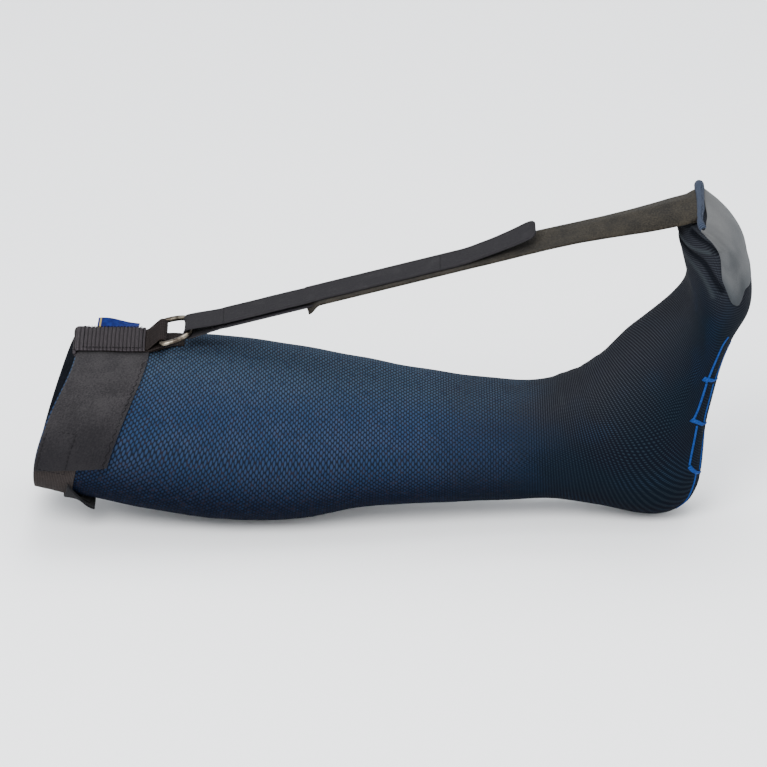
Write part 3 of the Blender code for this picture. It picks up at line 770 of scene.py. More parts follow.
def make_looks():
    looks = {
        "knit": knit_look(),
        "lining": fleece_look("knit_lining", (20, 24, 32), (34, 40, 50), (46, 54, 66),
                              size=0.0016),
        "cuff": cuff_look(),
        "elastic": weave_look("elastic", (44, 39, 38), (92, 84, 82), 0.0007, 0.0011, 0.85,
                              depth=0.0002),
        "hook": fleece_look("hook_pad", (14, 14, 17), (26, 27, 31), (40, 42, 48), size=0.0007),
        "flap": fleece_look("flap_fleece", (12, 12, 18), (22, 22, 30), (36, 37, 46)),
        "rib_tape": rib_tape_look(),
        "webbing": weave_look("webbing", (26, 22, 22), (64, 56, 54), 0.0012, 0.0010),
        "label": label_look(),
        "ring": metal_look(),
        "hook_tape": weave_look("hook_tape", (42, 41, 44), (68, 66, 70), 0.00055, 0.00055, 0.75,
                                depth=0.00006, wear=(74, 72, 74)),
        "loop_tape": fleece_look("loop_tape", (38, 35, 30), (74, 68, 58), (122, 112, 96),
                                 size=0.0013, patches=0.012, depth=0.0004),
        "patch": patch_look(),
        "piping": piping_look(),
        "thread": thread_look(),
        "print": print_look(),
    }
    return {name: look.material for name, look in looks.items()}


# ---------------------------------------------------------------- leg


SOCK_COLUMNS = 208
SOCK_STEP = 0.0017
LINING_ROWS = 70
KNEE_HEM = (-0.012, -0.017, -0.012)  # places by which the three rows of the hem bulge out


def sock_places():
    """Places of the knit's rows, evenly spaced along it and closer at the toes."""
    places = np.linspace(0.0, TOE_SLIT, 2081)
    density = 1.0 + 0.5 * smooth(20.0, 22.0, places)
    run = np.cumsum(np.gradient(run_of(places)) * density)
    count = int(run[-1] / SOCK_STEP)
    return np.interp(np.linspace(run[0], run[-1], count), run, places)


def knee_shift(places, degrees):
    """Lets the knee rim rise at the sides, fading out below the cuff."""
    return places - rim_rise(degrees) * (1.0 - smooth(0.0, 2.0, places))


def build_sock(looks):
    """One closed knit tube: outside, knee hem, lining, and both closed at the toe."""
    turns = np.linspace(0.0, 360.0, SOCK_COLUMNS, endpoint=False)
    degrees = (turns + 180.0) % 360.0 - 180.0
    rows = sock_places()
    inner = np.linspace(0.0, TOE_SLIT - 0.35, LINING_ROWS)
    places = np.concatenate(((TOE_SLIT,) * 2, rows[::-1], (0.0,) * 3, inner, (inner[-1],) * 2))
    lining = -KNIT - 0.0024 * smooth(19.6, 20.6, inner)  # clear of the deep folds at the toes
    lifts = np.concatenate(((-0.0030, -0.0016), np.zeros(len(rows)),
                            (-0.0003, -0.0008, -0.0013), lining,
                            lining[-1] - np.array((0.0008, 0.0014))))
    bulge = np.zeros(len(places))
    bulge[len(rows) + 2:len(rows) + 5] = KNEE_HEM
    place, degree = np.meshgrid(places, degrees, indexing="ij")
    raised = folds(place, degree)
    raised[:2] = raised[len(rows) + 2:] = 0.0
    points = skin(knee_shift(place, degree) + bulge[:, None], degree, lifts[:, None] + raised)
    index = np.arange(place.size).reshape(place.shape)
    index = np.hstack((index, index[:, :1]))
    faces = quads(index)
    half, quarter = SOCK_COLUMNS // 2, SOCK_COLUMNS // 4
    zipped = [[toe[place_on % SOCK_COLUMNS]
               for place_on in (step, step + 1, half - step - 1, half - step)]
              for toe in (index[0], index[-1]) for step in range(-quarter, quarter)]
    near = GIRTH * np.abs(degree) / 360.0
    along = run_of(place) - FOOT_SKEW * smooth(*SKEW_PLACES, place) * near
    spare = np.zeros((len(zipped) * 4, 2))
    corners, where, heights = (np.concatenate((values, spare))
                               for values in knit_corners(along, place, turns, raised))
    inside = np.arange(len(faces) + len(zipped)) >= (len(rows) + 3) * SOCK_COLUMNS
    return make_piece("sock_knit", points, np.concatenate((faces, zipped)), looks["knit"],
                      corners=corners, more={"Places": where, "Folds": heights},
                      lining=(looks["lining"], inside))


def knit_corners(along, place, turns, raised):
    """Flat places, sock places and fold height of each face corner, unbroken across the tube's
    closing line."""
    along, place, raised = (np.hstack((grid, grid[:, :1])) for grid in (along, place, raised))
    share = np.broadcast_to(np.append(turns, 360.0) / 360.0, along.shape)
    corners = quads(np.arange(along.size).reshape(along.shape)).ravel()
    pairs = ((along, share * GIRTH), (place, np.minimum(share, 1.0 - share)),
             (raised, np.zeros_like(raised)))
    return [np.stack(pair, -1).reshape(-1, 2)[corners] for pair in pairs]


def cuff_width_place(share, degrees, first, last):
    """Place on the cuff at a share of its width, with both edges rising at the sides."""
    place = first + (last - first) * share
    return place - rim_rise(degrees) * (1.0 - 0.25 * share)


CUFF_RADIUS = 0.0572
CUFF_WIDTH = 0.0455
CUFF_EDGES = (-0.005, 1.03)


def cuff_low(degrees):
    """Height of the cuff's underside: it climbs onto the elastic behind the leg."""
    turned = np.abs((np.asarray(degrees) + 180.0) % 360.0 - 180.0)
    return LAYER_GAP + (ELASTIC + LAYER_GAP) * smooth(55.0, 88.0, turned)


def cuff_cloth(name, first_degrees, last_degrees, edges, thickness, low, look, slant=0.0,
               creases=()):
    """Band round the leg, its first end slanted by some degrees; each crease has a share
    along, a share across, a depth, and a reach along and across as shares."""
    length = math.radians(abs(last_degrees - first_degrees)) * CUFF_RADIUS
    width = (edges[1] - edges[0]) * CUFF_WIDTH

    def place_at(first, second, height):
        slanted = first_degrees + slant * second / width
        degrees = slanted + (last_degrees - slanted) * first / length
        place = cuff_width_place(second / width, degrees, *edges)
        puff = 0.00025 * wavy(first, second, 0.022, 11) + 0.00012 * wavy(first, second, 0.008, 12)
        for at, side, depth, reach, spread in creases:
            puff = puff + depth * np.exp(-((first / length - at) / reach) ** 2
                                         - ((second / width - side) / spread) ** 2)
        return skin(place, degrees, low(degrees) + thickness / 2.0 + 0.0003 + puff + height)

    return cloth(name, length, width, thickness, place_at, look, step=0.0016)


def build_cuff(looks):
    span = CUFF_FAR_END - CUFF_NEAR_END
    join = (ELASTIC_SEWN - CUFF_NEAR_END) / span
    creases = (
        (join, 0.20, 0.0007, 0.010, 0.28),  # where the elastic's end shows through
        (join * 0.5, 0.42, -0.0006, 0.07, 0.025),
        (0.20, 0.60, -0.0004, 0.02, 0.30),
        (0.33, 0.35, 0.0004, 0.03, 0.30),
    )
    panel = cuff_cloth("cuff_panel_fleece", CUFF_NEAR_END, CUFF_FAR_END, CUFF_EDGES, PANEL,
                       cuff_low, looks["cuff"], CUFF_SLANT, creases)
    stand(panel, "leg", "cuff_fabric", "cuff_panel")
    elastic = cuff_cloth("cuff_elastic_band", ELASTIC_NEAR, ELASTIC_FAR, (0.0, 0.60), ELASTIC,
                         lambda _: -0.0002, looks["elastic"])
    stand(elastic, "leg", "elastic", "cuff_elastic")


def flap_point(share, side):
    """Place, degrees and height of the cuff's loose end; its near corner hangs off the leg."""
    end = FLAP_END + FLAP_SLANT * (1.0 - side) ** 1.3
    degrees = FLAP_START + (end - FLAP_START) * share
    place = 0.50 + 0.50 * side - rim_rise(degrees) * 0.6
    curl = 0.0034 * smooth(0.55, 1.0, share) * smooth(0.35, 1.0, side)
    ripple = 0.0005 * np.sin(6.0 * share + 3.0 * side) * smooth(0.1, 0.5, share)
    return place, degrees, curl + ripple


def build_flap(looks):
    length = math.radians(FLAP_END + FLAP_SLANT / 2.0 - FLAP_START) * CUFF_RADIUS

    def place_at(first, second, height):
        place, degrees, lift = flap_point(first / length, second / FLAP_WIDTH)
        return skin(place, degrees, lift + 0.0032 + height)

    flap = cloth("cuff_flap_fleece", length, FLAP_WIDTH, FLAP, place_at, looks["flap"],
                 step=0.0013)
    stand(flap, "cuff_flap", "cuff_fabric", "cuff_tab")
    pad_length, pad_width = length * 0.60, FLAP_WIDTH * 0.70

    def pad_at(first, second, height):
        place, degrees, lift = flap_point(0.2 + 0.6 * first / pad_length,
                                          0.22 + 0.6 * second / pad_width)
        return skin(place, degrees, lift + 0.0018 + height)

    pad = cloth("cuff_flap_hooks", pad_length, pad_width, FLAP_PAD, pad_at, looks["hook"],
                step=0.0013)
    stand(pad, "cuff_flap", "hook_pad", "cuff_tab_hook")


def cuff_points(shares, degrees):
    """Points on the outside of the cuff and the ways out of it."""
    place = cuff_width_place(shares, degrees, *CUFF_EDGES)
    return off_skin(place, degrees, cuff_low(degrees) + PANEL + 0.0004)


def cuff_edge_pairs(first_degrees, last_degrees):
    """Zigzag stitches along the cuff's lower edge."""
    count = int(abs(last_degrees - first_degrees) / 2.4)
    degrees = np.linspace(first_degrees, last_degrees, count)
    low, outs = cuff_points(np.where(np.arange(count) % 2, 0.93, 0.965), degrees)
    return list(zip(low[:-1], low[1:], outs))


def cuff_line_pairs(outline, gap=0.0028):
    """Running stitches along lines on the cuff: (share of the width, degrees) corners."""
    pairs = []
    for (share, turn), (next_share, next_turn) in zip(outline[:-1], outline[1:]):
        length = math.hypot((next_share - share) * CUFF_WIDTH,
                            math.radians(next_turn - turn) * CUFF_RADIUS)
        steps = np.linspace(0.0, 1.0, max(int(length / gap), 1) + 1)
        low, outs = cuff_points(share + (next_share - share) * steps,
                                turn + (next_turn - turn) * steps)
        pairs += zip(low[:-1], low[:-1] * 0.3 + low[1:] * 0.7, outs)
    return pairs


def build_cuff_sewing(looks):
    near, far = CUFF_NEAR_END + 3.0, CUFF_FAR_END - 3.0
    box = ((0.04, near), (0.04, ELASTIC_SEWN), (0.44, ELASTIC_SEWN), (0.44, near), (0.04, near))
    for name, node, pairs in (
            ("cuff_edge_sewing_near", "cuff_stitching_near", cuff_edge_pairs(near, -24.0)),
            ("cuff_edge_sewing_far", "cuff_stitching_far", cuff_edge_pairs(24.0, far)),
            ("elastic_sewing", "elastic_stitching", cuff_line_pairs(box))):
        stand(seam(name, pairs, looks, SEWING_RADIUS, SEWING_RISE), "leg", "thread", node)


# ---------------------------------------------------------------- shin webbing, tape and label


def shin_line(x):
    """Height of the middle of the shin in the cuff."""
    first, second = SECTIONS[0], SECTIONS[1]
    share = (x - ANKLE[0] - first[0]) / (second[0] - first[0])
    return ANKLE[2] + first[1] + (second[1] - first[1]) * share


def front_drop(y):
    """How far the cuff's front falls away at a distance y from its middle line."""
    half = (SECTIONS[0, 4] * 0.4 + SECTIONS[1, 4] * 0.6 + PANEL) * (1.0 - LEG_EGG)
    depth = math.hypot(SECTIONS[0, 0] - SECTIONS[0, 2], SECTIONS[0, 1] - SECTIONS[0, 3]) / 2.0
    share = np.minimum(np.abs(y) / half, 0.999)
    return depth * (1.0 - (1.0 - share ** SQUARENESS) ** (1.0 / SQUARENESS))


SHIN_LIFT = 0.0030
HEM_TURN = 0.0022
TONGUE_LIFT, TONGUE_COVERED, TONGUE_REACH, TONGUE_TAPER = 0.0016, 0.004, 0.0155, 0.66
LABEL = 0.0011


def rib_height(run):
    """Raised ribs across the tape, with a narrow groove between them."""
    phase = np.abs(((run / RIB_PITCH) % 1.0) - 0.5) * 2.0
    return 0.0006 * (1.0 - phase ** 3.0)


def rib_tape_stitches(lift):
    """Two rows of stitches along the ribbed tape and two across it."""
    pairs = []
    xs = np.linspace(RIB_FROM + 0.003, RIB_TO - 0.002, 19)
    ys = np.linspace(-RIB_HALF + 0.002, RIB_HALF - 0.002, 13)
    for y in (-RIB_HALF + 0.0012, RIB_HALF - 0.0012):
        for start, end in zip(xs[:-1], xs[1:]):
            z = shin_line(start) + lift - front_drop(y)
            pairs.append(((start, y, z), (start * 0.3 + end * 0.7, y, z), (0, 0, 1)))
    for x in (RIB_FROM + 0.0040, RIB_TO - 0.0020):
        heights = shin_line(x) + lift - front_drop(ys)
        for step in range(len(ys) - 1):
            pairs.append(((x, ys[step], heights[step]),
                          (x, ys[step] * 0.3 + ys[step + 1] * 0.7, heights[step + 1]), (0, 0, 1)))
    return pairs


def build_rib_tape(looks):
    """Ribbed tape over the shin, folded over the knee rim at its end."""
    lift = SHIN_LIFT + WEBBING / 2.0 + LAYER_GAP + RIB_TAPE / 2.0
    fold = math.pi * HEM_TURN
    inner = 0.0085
    flat_length = RIB_TO - RIB_FROM
    length = flat_length + fold + inner
    width = 2.0 * RIB_HALF

    def place_at(first, second, height):
        y = second - RIB_HALF
        run = length - first  # from the ring's side towards the knee
        turn = np.clip((run - flat_length) / HEM_TURN, 0.0, math.pi)
        beyond = np.maximum(run - flat_length - fold, 0.0)
        x = RIB_TO - np.minimum(run, flat_length) - HEM_TURN * np.sin(turn) + beyond
        hem = 0.0009 * smooth(flat_length - 0.0062, flat_length - 0.0050, run)
        ribs = rib_height(run) * (1.0 - smooth(0.0, 0.0009, hem)) + hem
        ribs = ribs * (run < flat_length + fold) * (height > 0.0)
        level = HEM_TURN * (np.cos(turn) - 1.0)
        uneven = 0.0003 * wavy(first, y, 0.02, 21)
        out = height + ribs + uneven
        z = shin_line(x) + lift - front_drop(y) + level + out * np.cos(turn)
        return np.stack((x - out * np.sin(turn), y, z), -1)

    tape = cloth("shin_rib_tape", length, width, RIB_TAPE, place_at, looks["rib_tape"],
                 step=RIB_PITCH / 8.0)
    stand(tape, "leg", "rib_tape", "rib_tape")
    pairs = rib_tape_stitches(lift + RIB_TAPE / 2.0 + 0.0008)
    stand(seam("rib_tape_sewing", pairs, looks), "leg", "thread")


def build_webbing(looks):
    """Webbing that comes from under the ribbed tape, goes round the ring's bar and back."""
    radius = WIRE_RADIUS + 0.0005 + WEBBING / 2.0
    leave = BAR[0] - 0.0097
    path = [(x, shin_line(x) + SHIN_LIFT, 1.0)
            for x in np.linspace(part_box("ring_webbing")[0].x, leave, 7)]
    for turn in np.radians(np.linspace(-78.0, 132.0, 16)):
        path.append((BAR[0] + math.cos(turn) * radius, BAR[2] + math.sin(turn) * radius, 0.0))
    upper = SHIN_LIFT + WEBBING + LAYER_GAP
    path.append((leave, shin_line(leave) + upper, 0.8))
    path.append((RIB_TO + LAYER_GAP, shin_line(RIB_TO) + upper, 1.0))
    columns = np.array(path).T
    run = running(columns[:2].T)

    def place_at(first, second, height):
        y = second - WEBBING_HALF
        (x, z, drop), forward, up = beside(first, run, columns, 0.0006)
        out = height + 0.00018 * np.cos(2.0 * math.pi * y / 0.0043) * np.sign(height)
        return np.stack((x + forward * out, y, z + up * out - front_drop(y) * drop), -1)

    web = cloth("ring_webbing_loop", run[-1], 2.0 * WEBBING_HALF, WEBBING, place_at,
                looks["webbing"], step=0.0009)
    stand(web, "leg", "webbing", "ring_webbing")


def build_tongue(looks):
    """Stiff end of the webbing that lies on the shin under the ring."""
    start, end = RIB_TO - TONGUE_COVERED, BAR[0] + TONGUE_REACH
    half = WEBBING_HALF - 0.0012

    def place_at(first, second, height):
        x = start + first
        near = -half * (1.0 - TONGUE_TAPER * smooth(0.2, 0.9, first / (end - start)))
        y = near + (half - near) * second / (2.0 * half)
        drop = front_drop(y) * 0.55
        lumps = 0.0003 * wavy(first, y, 0.02, 51)
        return np.stack((x, y, shin_line(x) + TONGUE_LIFT - drop + lumps + height), -1)

    tongue = cloth("ring_webbing_tongue", end - start, 2.0 * half, WEBBING, place_at,
                   looks["webbing"], step=0.0012)
    stand(tongue, "leg", "webbing")


def build_label(looks):
    """Folded ribbon that stands out from under the far edge of the ribbed tape."""
    low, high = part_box("side_label")
    length, width = high.x - low.x, high.y - low.y + 0.0015
    base = SHIN_LIFT + WEBBING / 2.0 + LAYER_GAP + RIB_TAPE / 2.0

    def place_at(first, second, height):
        x = low.x - 0.0014 + first + 0.0010 * second / width
        y = high.y - 0.0025 - width + second
        share = second / width
        wave = 0.0009 * np.sin(first / length * 5.2 + 0.6) * share
        rise = (0.0026 - 0.0030 * (first / length) ** 2) * share + wave
        z = shin_line(x) + base - front_drop(RIB_HALF) + rise + height
        return np.stack((x, y, z), -1)

    label = cloth("side_label_ribbon", length, width, LABEL, place_at, looks["label"],
                  step=0.0008)
    stand(label, "leg", "label", "side_label")


# ---------------------------------------------------------------- ring and strap


def on_strap(along, level, y):
    along, level, y = np.broadcast_arrays(along, level, y)
    return BAR + along[..., None] * ALONG + level[..., None] * NORMAL + y[..., None] * ACROSS


def ring_reach(y):
    share = np.minimum(np.abs(y) / RING_HALF, 1.0)
    return RING_DEPTH * (1.0 - share ** RING_POWER) ** (1.0 / RING_POWER)


def build_ring(looks):
    """Bent wire ring: straight bar, tight corners and a round side, its ends meeting in a weld."""
    points = [(0.0, y) for y in np.linspace(RING_CORNER - RING_HALF, RING_HALF - RING_CORNER, 25)]
    corner = np.radians(np.linspace(0.0, 90.0, 7))[1:]
    points += [(RING_CORNER * (1.0 - math.cos(turn)),
                RING_HALF - RING_CORNER + RING_CORNER * math.sin(turn)) for turn in corner]
    for turn in np.radians(np.linspace(4.0, 176.0, 60)):
        y = RING_HALF * math.copysign(abs(math.cos(turn)) ** (2.0 / RING_POWER), math.cos(turn))
        points.append((RING_DEPTH * math.sin(turn) ** (2.0 / RING_POWER), y))
    points += [(RING_CORNER * (1.0 - math.cos(turn)),
                RING_CORNER - RING_HALF - RING_CORNER * math.sin(turn)) for turn in corner[::-1]]
    flat = np.array(points)
    path = on_strap(flat[:, 0], 0.0, flat[:, 1])
    weld = np.exp(-((flat[:, 1]) / 0.0012) ** 2) * (flat[:, 0] < 0.001)
    points, faces, places = bar(path, WIRE_RADIUS * (1.0 + 0.05 * weld), sides=20, closed=True,
                                start=NORMAL)
    ring = make_piece("d_ring_wire", points, faces, looks["ring"], flat=places)
    stand(ring, "ring", "ring_metal", "d_ring")


def turn_line():
    """Places, levels and bow of the tape's turn round the ring, from the lower run's end."""
    arm = np.linspace(TURN_END, RING_DEPTH, 14)
    ease = smooth(RING_DEPTH, TURN_END, arm)
    level = TURN_RADIUS + (LAYER - TURN_RADIUS) * ease
    around = np.radians(np.linspace(-90.0, -270.0, 17)[1:-1])
    along = np.concatenate((arm, RING_DEPTH + TURN_RADIUS * np.cos(around), arm[::-1]))
    levels = np.concatenate((-level, TURN_RADIUS * np.sin(around), level[::-1]))
    bows = np.concatenate((1.0 - ease, np.ones(len(around)), 1.0 - ease[::-1]))
    return along, levels, bows


def build_turn(looks):
    columns = np.array(turn_line())
    run = running(columns[:2].T)

    def place_at(first, second, height):
        y = second - HOOK_HALF
        (along, level, bow), forward, up = beside(first, run, columns, 0.0005)
        shift = (ring_reach(y) - RING_DEPTH) * bow * 0.6
        return on_strap(along + shift + forward * height, level + up * height, y)

    turn = cloth("hook_tape_round_ring", run[-1], 2.0 * HOOK_HALF, HOOK_TAPE, place_at,
                 looks["hook_tape"], step=0.0011, end_radius=BUTT_RADIUS)
    stand(turn, "ring", "hook_tape", "hook_tape_turn")


def tape_half(places, end):
    """Half width of the hook tape, rounded off at its tail."""
    curve = np.clip((places - (end - TAIL_ROUNDING)) / TAIL_ROUNDING, 0.0, 1.0)
    return HOOK_HALF - TAIL_ROUNDING * (1.0 - np.sqrt(1.0 - curve ** 2)) * 0.98


def tail_level(places):
    """Level of the upper tape: flat on the strap, then lifting off towards its tip."""
    share = np.clip((places - PEEL_DISTANCE) / (TAIL_END - PEEL_DISTANCE), 0.0, 1.0)
    lumps = 0.00006 * np.sin(places * 170.0) + 0.00003 * np.sin(places * 410.0 + 1.0)
    lumps = lumps * smooth(TURN_END, TURN_END + 0.01, places)
    return LAYER + TAIL_LIFT * share ** 1.45 + lumps


def tape_run(name, first_place, last_place, level_of, look, twist=None):
    """Straight run of hook tape between two places on the strap."""
    length = last_place - first_place

    def place_at(first, second, height):
        places = first_place + first
        half = tape_half(places, TAIL_END)
        y = (second / HOOK_HALF - 1.0) * half
        edge = 0.00022 * np.exp(-((half - np.abs(y)) / 0.0012) ** 2)
        extra = twist(places, y) if twist else 0.0
        return on_strap(places, level_of(places) + height + edge * np.sign(height) + extra, y)

    return cloth(name, length, 2.0 * HOOK_HALF, HOOK_TAPE, place_at, look, step=0.0016,
                 end_radius=BUTT_RADIUS)


def build_hook_tape(looks):
    """Two runs of the hook tape: under the loop tape to the joint, and over it to the tail."""
    lower = tape_run("hook_tape_under", TURN_END, LOWER_END, lambda _: -LAYER,
                     looks["hook_tape"])
    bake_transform(lower)
    finish_of(lower, "hook_tape", "hook_tape_lower", "hook_tape_lower_root")
    upper = tape_run("hook_tape_over", TURN_END, TIP_START, tail_level, looks["hook_tape"])
    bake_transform(upper)
    finish_of(upper, "hook_tape", "hook_tape_upper", "hook_tape_upper_root")

    def twist(places, y):
        share = smooth(PEEL_DISTANCE + 0.02, TAIL_END, places)
        return share * 0.0008 * y / HOOK_HALF

    tip = tape_run("hook_tape_tail_tip", TIP_START, TAIL_END, tail_level, looks["hook_tape"],
                   twist)
    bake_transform(tip)
    finish_of(tip, "hook_tape", "hook_tape_tip")


def loop_half(places):
    widen = smooth(WIDEN_START, LOOP_END, places)
    return LOOP_HALF + (LOOP_TOE_HALF - LOOP_HALF) * widen


def build_loop_tape(looks):
    """Velvety strap from the joint to the toes, cupped near the toes, one corner curled down."""
    length = LOOP_END - JOINT_START

    def place_at(first, second, height):
        places = JOINT_START + first
        half = loop_half(places)
        side = second / LOOP_HALF - 1.0
        y = side * half
        cup = smooth(0.27, 0.36, places) * (1.0 - 0.6 * smooth(0.375, LOOP_END, places))
        shape = -0.0030 * cup * np.abs(side) ** 2.2 + 0.0007 * cup * np.exp(
            -((side - 0.35) / 0.25) ** 2)
        corner = smooth(0.0115, 0.0, first) * smooth(0.25, 1.0, -side)
        lumps = 0.00010 * wavy(places, y, 0.03, 31) * smooth(0.12, 0.15, places)
        lumps = lumps * smooth(0.215, 0.23, places)
        return on_strap(places + corner * 0.0015, shape + lumps - corner * 0.0052 + height,
                        y + corner * 0.001)

    loop = cloth("loop_tape_strap", length, 2.0 * LOOP_HALF, LOOP_TAPE, place_at,
                 looks["loop_tape"], step=0.0016)
    stand(loop, "strap", "loop_tape", "loop_tape")


def build_joint_sewing(looks):
    """Zigzag between two rows of stitches, where the hook tape ends under the loop tape."""
    pairs = []
    for shift in (0.0055, 0.0175):
        for start in np.arange(-HOOK_HALF + 0.002, HOOK_HALF - 0.003, 0.0026):
            pairs.append((start, start + 0.0019, shift, shift))
    for step, start in enumerate(np.arange(-HOOK_HALF + 0.002, HOOK_HALF - 0.004, 0.0021)):
        ends = (0.0055, 0.0175) if step % 2 else (0.0175, 0.0055)
        pairs.append((start, start + 0.0021, *ends))
    level = -LAYER - HOOK_TAPE / 2.0 - 0.0003
    made = [(on_strap(JOINT_START + first, level, y), on_strap(JOINT_START + last, level, end),
             -NORMAL) for y, end, first, last in pairs]
    stand(seam("joint_sewing", made, looks, 0.0002, 0.0004), "strap", "thread",
          "joint_stitching")


# ---------------------------------------------------------------- foot


BINDING_MIDDLE = ANKLE + np.array((0.0697, 0.0, 0.1803))
PIPING_RADIUS = 0.0028
SEWN_FROM, SEWN_TO, SEWN_HALF, SEWN_END = 0.3776, 0.3862, 0.0250, 0.0012


def build_sewn_end(looks):
    """The strap's end inside the toe seam."""
    def place_at(first, second, height):
        y = second - SEWN_HALF
        level = -0.0021 - 0.0012 * np.abs(y / SEWN_HALF) ** 2.2
        return on_strap(SEWN_FROM + first, level + height, y)

    end = cloth("strap_sewn_end_loop", SEWN_TO - SEWN_FROM, 2.0 * SEWN_HALF, SEWN_END, place_at,
                looks["loop_tape"], step=0.0014)
    stand(end, "foot", "loop_tape", "strap_sewn_end")


def piping_path():
    """Roll of the binding over the toe seam; its near end turns down along the patch."""
    corners = np.array((
        (-0.0018, 0.0335, 0.0008), (-0.0018, 0.0260, 0.0006), (-0.0020, 0.0100, 0.0),
        (-0.0026, -0.0080, -0.0002), (-0.0036, -0.0220, -0.0008), (-0.0028, -0.0320, -0.0024),
        (0.0006, -0.0356, -0.0062), (0.0046, -0.0372, -0.0110), (0.0080, -0.0380, -0.0160),
    ))
    return BINDING_MIDDLE + catmull(corners, np.linspace(0.0, len(corners) - 1.0, 90))


def build_piping(looks):
    path = piping_path()
    share = np.linspace(0.0, 1.0, len(path))
    far = np.sqrt(np.clip(share / 0.035, 0.02, 1.0))
    near = (1.22 - 0.36 * smooth(0.05, 0.55, share)) * (1.0 - 0.50 * smooth(0.66, 0.80, share))
    lumps = 1.0 + 0.06 * np.sin(share * 21.0) + 0.04 * np.sin(share * 53.0 + 1.0)
    radii = PIPING_RADIUS * far * near * lumps
    radii[-1] *= 0.4
    points, faces, flat = bar(path, radii, sides=22, start=(0.0, 0.0, 1.0), squash=1.15)
    roll = make_piece("toe_binding_roll", points, faces, looks["piping"], flat=flat)
    stand(roll, "foot", "binding", "toe_binding")
    pairs = []
    for step in range(4, 80, 2):
        middle, after = path[step], path[step + 2]
        out = np.array((0.35, 0.0, 0.94))
        reach = radii[step] * 1.02
        side = np.array((0.94, 0.0, -0.35)) * 0.0007 * (1 if step % 4 else -1)
        pairs.append((middle + out * reach + side, after + out * reach - side, out))
    stand(seam("toe_seam_sewing", pairs, looks, 0.00016, 0.0004), "foot", "thread",
          "toe_stitching")


PATCH, PATCH_LENGTH, PATCH_WIDTH = 0.0010, 0.100, 0.048
PATCH_HIGH = 25.96


def patch_edge(turned):
    """Place of the patch's lower edge at degrees from the sole's middle: straight over the
    sole, with a rounded lobe at each side."""
    return 22.45 - 1.04 * np.exp(-(np.abs(turned - 70.0) / 16.5) ** 2.8)


def build_patch(looks):
    rows = (0.0, 0.10, 0.30, 0.55, 0.75, 0.88, 1.0)
    halves = (84.0, 86.0, 84.0, 83.0, 87.0, 97.0, 128.0)

    def place_of(first, second):
        side = first / PATCH_LENGTH * 2.0 - 1.0
        up = second / PATCH_WIDTH
        lobe = 0.86 + 0.14 * np.sqrt(1.0 - (1.0 - np.minimum(up / 0.14, 1.0)) ** 2)
        turned = side * np.interp(up, rows, halves) * lobe
        low = patch_edge(np.abs(turned))
        return low + (PATCH_HIGH - low) * up, 180.0 + turned

    def low(place, degrees):
        return 0.0003 + PATCH / 2.0 + 0.00025 * wavy(place * 0.01, degrees * 0.0008, 0.03, 41)

    patch = cloth("toe_patch_suede", PATCH_LENGTH, PATCH_WIDTH, PATCH, on_sock(place_of, low),
                  looks["patch"], step=0.0013, radius=0.0009)
    stand(patch, "foot", "toe_patch", "toe_patch")


# Printed ladder beside the sole: lines and rungs as (place, degrees) pairs on the near side
PRINT_LINES = (
    ((20.10, 128), (19.72, 122), (19.16, 118), (18.52, 114), (17.92, 110)),
    ((19.95, 149), (19.64, 146), (19.24, 141), (18.76, 135), (18.50, 131)),
    ((17.92, 111), (17.40, 112), (16.92, 112), (16.20, 109)),
    ((18.32, 130), (17.76, 133), (17.20, 135), (16.95, 137)),
    ((16.32, 118), (15.72, 120), (15.08, 122), (14.48, 125)),
    ((16.76, 150), (16.36, 147), (15.64, 146), (14.92, 150)),
    ((14.62, 141), (14.28, 144), (13.28, 151), (12.52, 157)),
)
PRINT_RUNGS = (
    ((17.80, 102), (18.20, 117), (18.56, 138)),
    ((16.04, 106), (16.52, 121), (16.96, 143)),
    ((14.36, 125), (14.46, 134), (14.76, 152)),
)
PRINT_LINE_HALF, PRINT_RUNG_HALF = 0.0008, 0.0021
# Section of a printed strip: (share of its half width, height), sunk at both edges
PRINT_PROFILE = ((-1.0, -0.0010), (-0.92, 0.00022), (0.0, 0.00034), (0.92, 0.00022),
                 (1.0, -0.0010))


def print_strip(outline, half, side):
    """Thin raised strip along a line on the sock."""
    corners = np.array(outline, float)
    steps = np.linspace(0.0, len(corners) - 1.0, 12 * (len(corners) - 1) + 1)
    place, degrees = catmull(corners, steps).T
    degrees = degrees * side
    middle, out = off_skin(place, degrees)
    out /= np.linalg.norm(out, axis=1)[:, None]
    across = np.cross(np.gradient(middle, axis=0), out)
    across /= np.linalg.norm(across, axis=1)[:, None]
    lift = folds(place, degrees)[:, None]
    points = np.stack([middle + across * half * share + out * (lift + height)
                       for share, height in PRINT_PROFILE], 1)
    count = len(PRINT_PROFILE)
    flat = np.stack(np.meshgrid(running(middle), np.arange(count) * half / 2.0, indexing="ij"), -1)
    return points.reshape(-1, 3), tube_faces(len(middle), count), flat.reshape(-1, 2)


def build_print(looks):
    for title, side in (("near", -1.0), ("far", 1.0)):
        points, faces, flat = joined([
            print_strip(outline, half, side)
            for outlines, half in ((PRINT_LINES, PRINT_LINE_HALF), (PRINT_RUNGS, PRINT_RUNG_HALF))
            for outline in outlines])
        piece = make_piece("sole_print_" + title, points, faces, looks["print"], flat=flat)
        stand(piece, "foot", "foot_knit")


# ---------------------------------------------------------------- stage


LENS, SENSOR = 300.0, 36.0
VIEW_WIDTH = 0.5369
VIEW_MIDDLE = Vector((-0.0067, 0.0, 0.0968))
ELEVATION = math.radians(25.0)
FLOOR_DROP = 0.0008
FLOOR_COLOURS = ((238.61, 239.83, 241.05, 1.0), (243.45, 243.45, 243.45, 1.0))
SKY_COLOUR, SKY_STRENGTH = (0.93, 0.96, 1.0, 1.0), 1.6
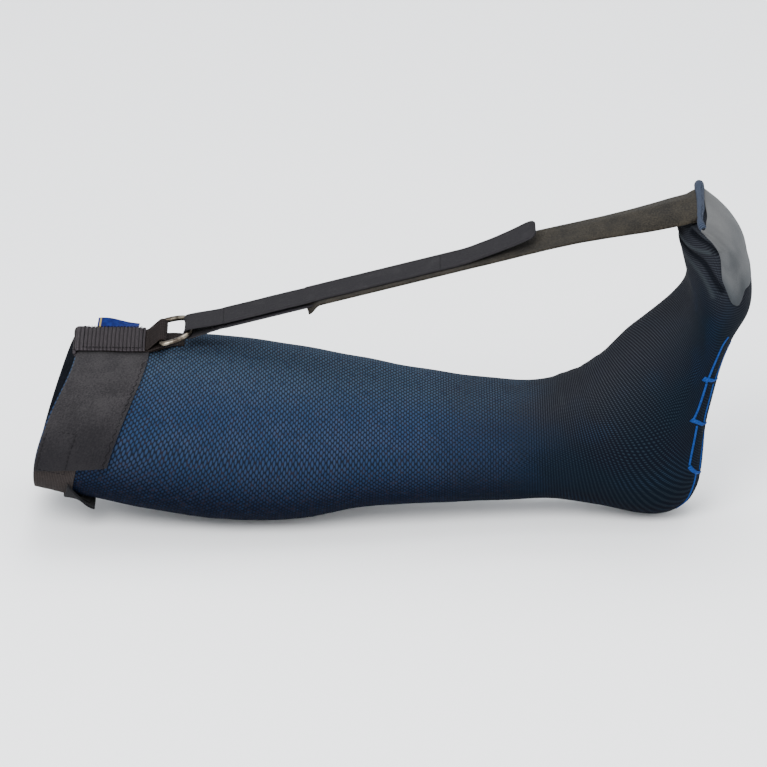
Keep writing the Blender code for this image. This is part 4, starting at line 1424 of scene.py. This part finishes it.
# Round lamps: name, place, size, power
LAMPS = (
    ("key", (-0.6, -1.7, 1.9), 1.4, 88.0),
    ("fill", (1.4, -1.5, 0.9), 1.2, 14.0),
    ("top", (0.2, 0.6, 2.0), 1.6, 34.0),
)


def stage_look():
    look = Look("pale_floor", 0.9)
    grain = look.node("ShaderNodeTexNoise")
    look.plug(grain.inputs["Vector"], look.node("ShaderNodeTexCoord").outputs["Object"])
    grain.inputs["Scale"].default_value = 3.0
    look.colour(look.mix(grain.outputs["Fac"], *FLOOR_COLOURS))
    return look.material


def build_stage():
    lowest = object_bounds()[0].z
    bm = bmesh.new()
    bmesh.ops.create_grid(bm, x_segments=4, y_segments=4, size=6.0)
    mesh = bpy.data.meshes.new("floor")
    bm.to_mesh(mesh)
    bm.free()
    mesh.materials.append(stage_look())
    floor = bpy.data.objects.new("floor", mesh)
    floor.location = (0.0, 0.0, lowest - FLOOR_DROP)
    bpy.context.scene.collection.objects.link(floor)
    world = bpy.data.worlds.new("studio")
    world.use_nodes = True
    sky = world.node_tree.nodes["Background"]
    sky.inputs["Color"].default_value = SKY_COLOUR
    sky.inputs["Strength"].default_value = SKY_STRENGTH
    bpy.context.scene.world = world


def add_lamp(name, place, size, power):
    lamp = bpy.data.lights.new(name, "AREA")
    lamp.shape = "DISK"
    lamp.size = size
    lamp.energy = power
    holder = bpy.data.objects.new(name, lamp)
    bpy.context.scene.collection.objects.link(holder)
    holder.location = place
    aim = VIEW_MIDDLE - Vector(place)
    holder.rotation_euler = aim.to_track_quat("-Z", "Y").to_euler()


def build_camera():
    camera = bpy.data.cameras.new("camera")
    camera.lens = LENS
    camera.sensor_width = SENSOR
    distance = VIEW_WIDTH * LENS / SENSOR
    holder = bpy.data.objects.new("camera", camera)
    bpy.context.scene.collection.objects.link(holder)
    away = Vector((0.0, -math.cos(ELEVATION), math.sin(ELEVATION)))
    holder.location = VIEW_MIDDLE + away * distance
    holder.rotation_euler = (-away).to_track_quat("-Z", "Y").to_euler()
    camera.clip_end = 100.0
    bpy.context.scene.camera = holder


# ---------------------------------------------------------------- all of it


def bend_at_ankle(sock):
    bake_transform(sock)
    finish_of(sock, "calf_knit", "leg_knit", "ankle_knit", "foot_knit")


def main():
    looks = make_looks()
    bend_at_ankle(build_sock(looks))
    for build in (build_cuff, build_flap, build_cuff_sewing, build_rib_tape, build_webbing,
                  build_tongue, build_label, build_ring, build_turn, build_hook_tape,
                  build_loop_tape, build_joint_sewing, build_sewn_end, build_piping, build_patch,
                  build_print):
        build(looks)
    build_stage()
    for lamp in LAMPS:
        add_lamp(*lamp)
    build_camera()


main()
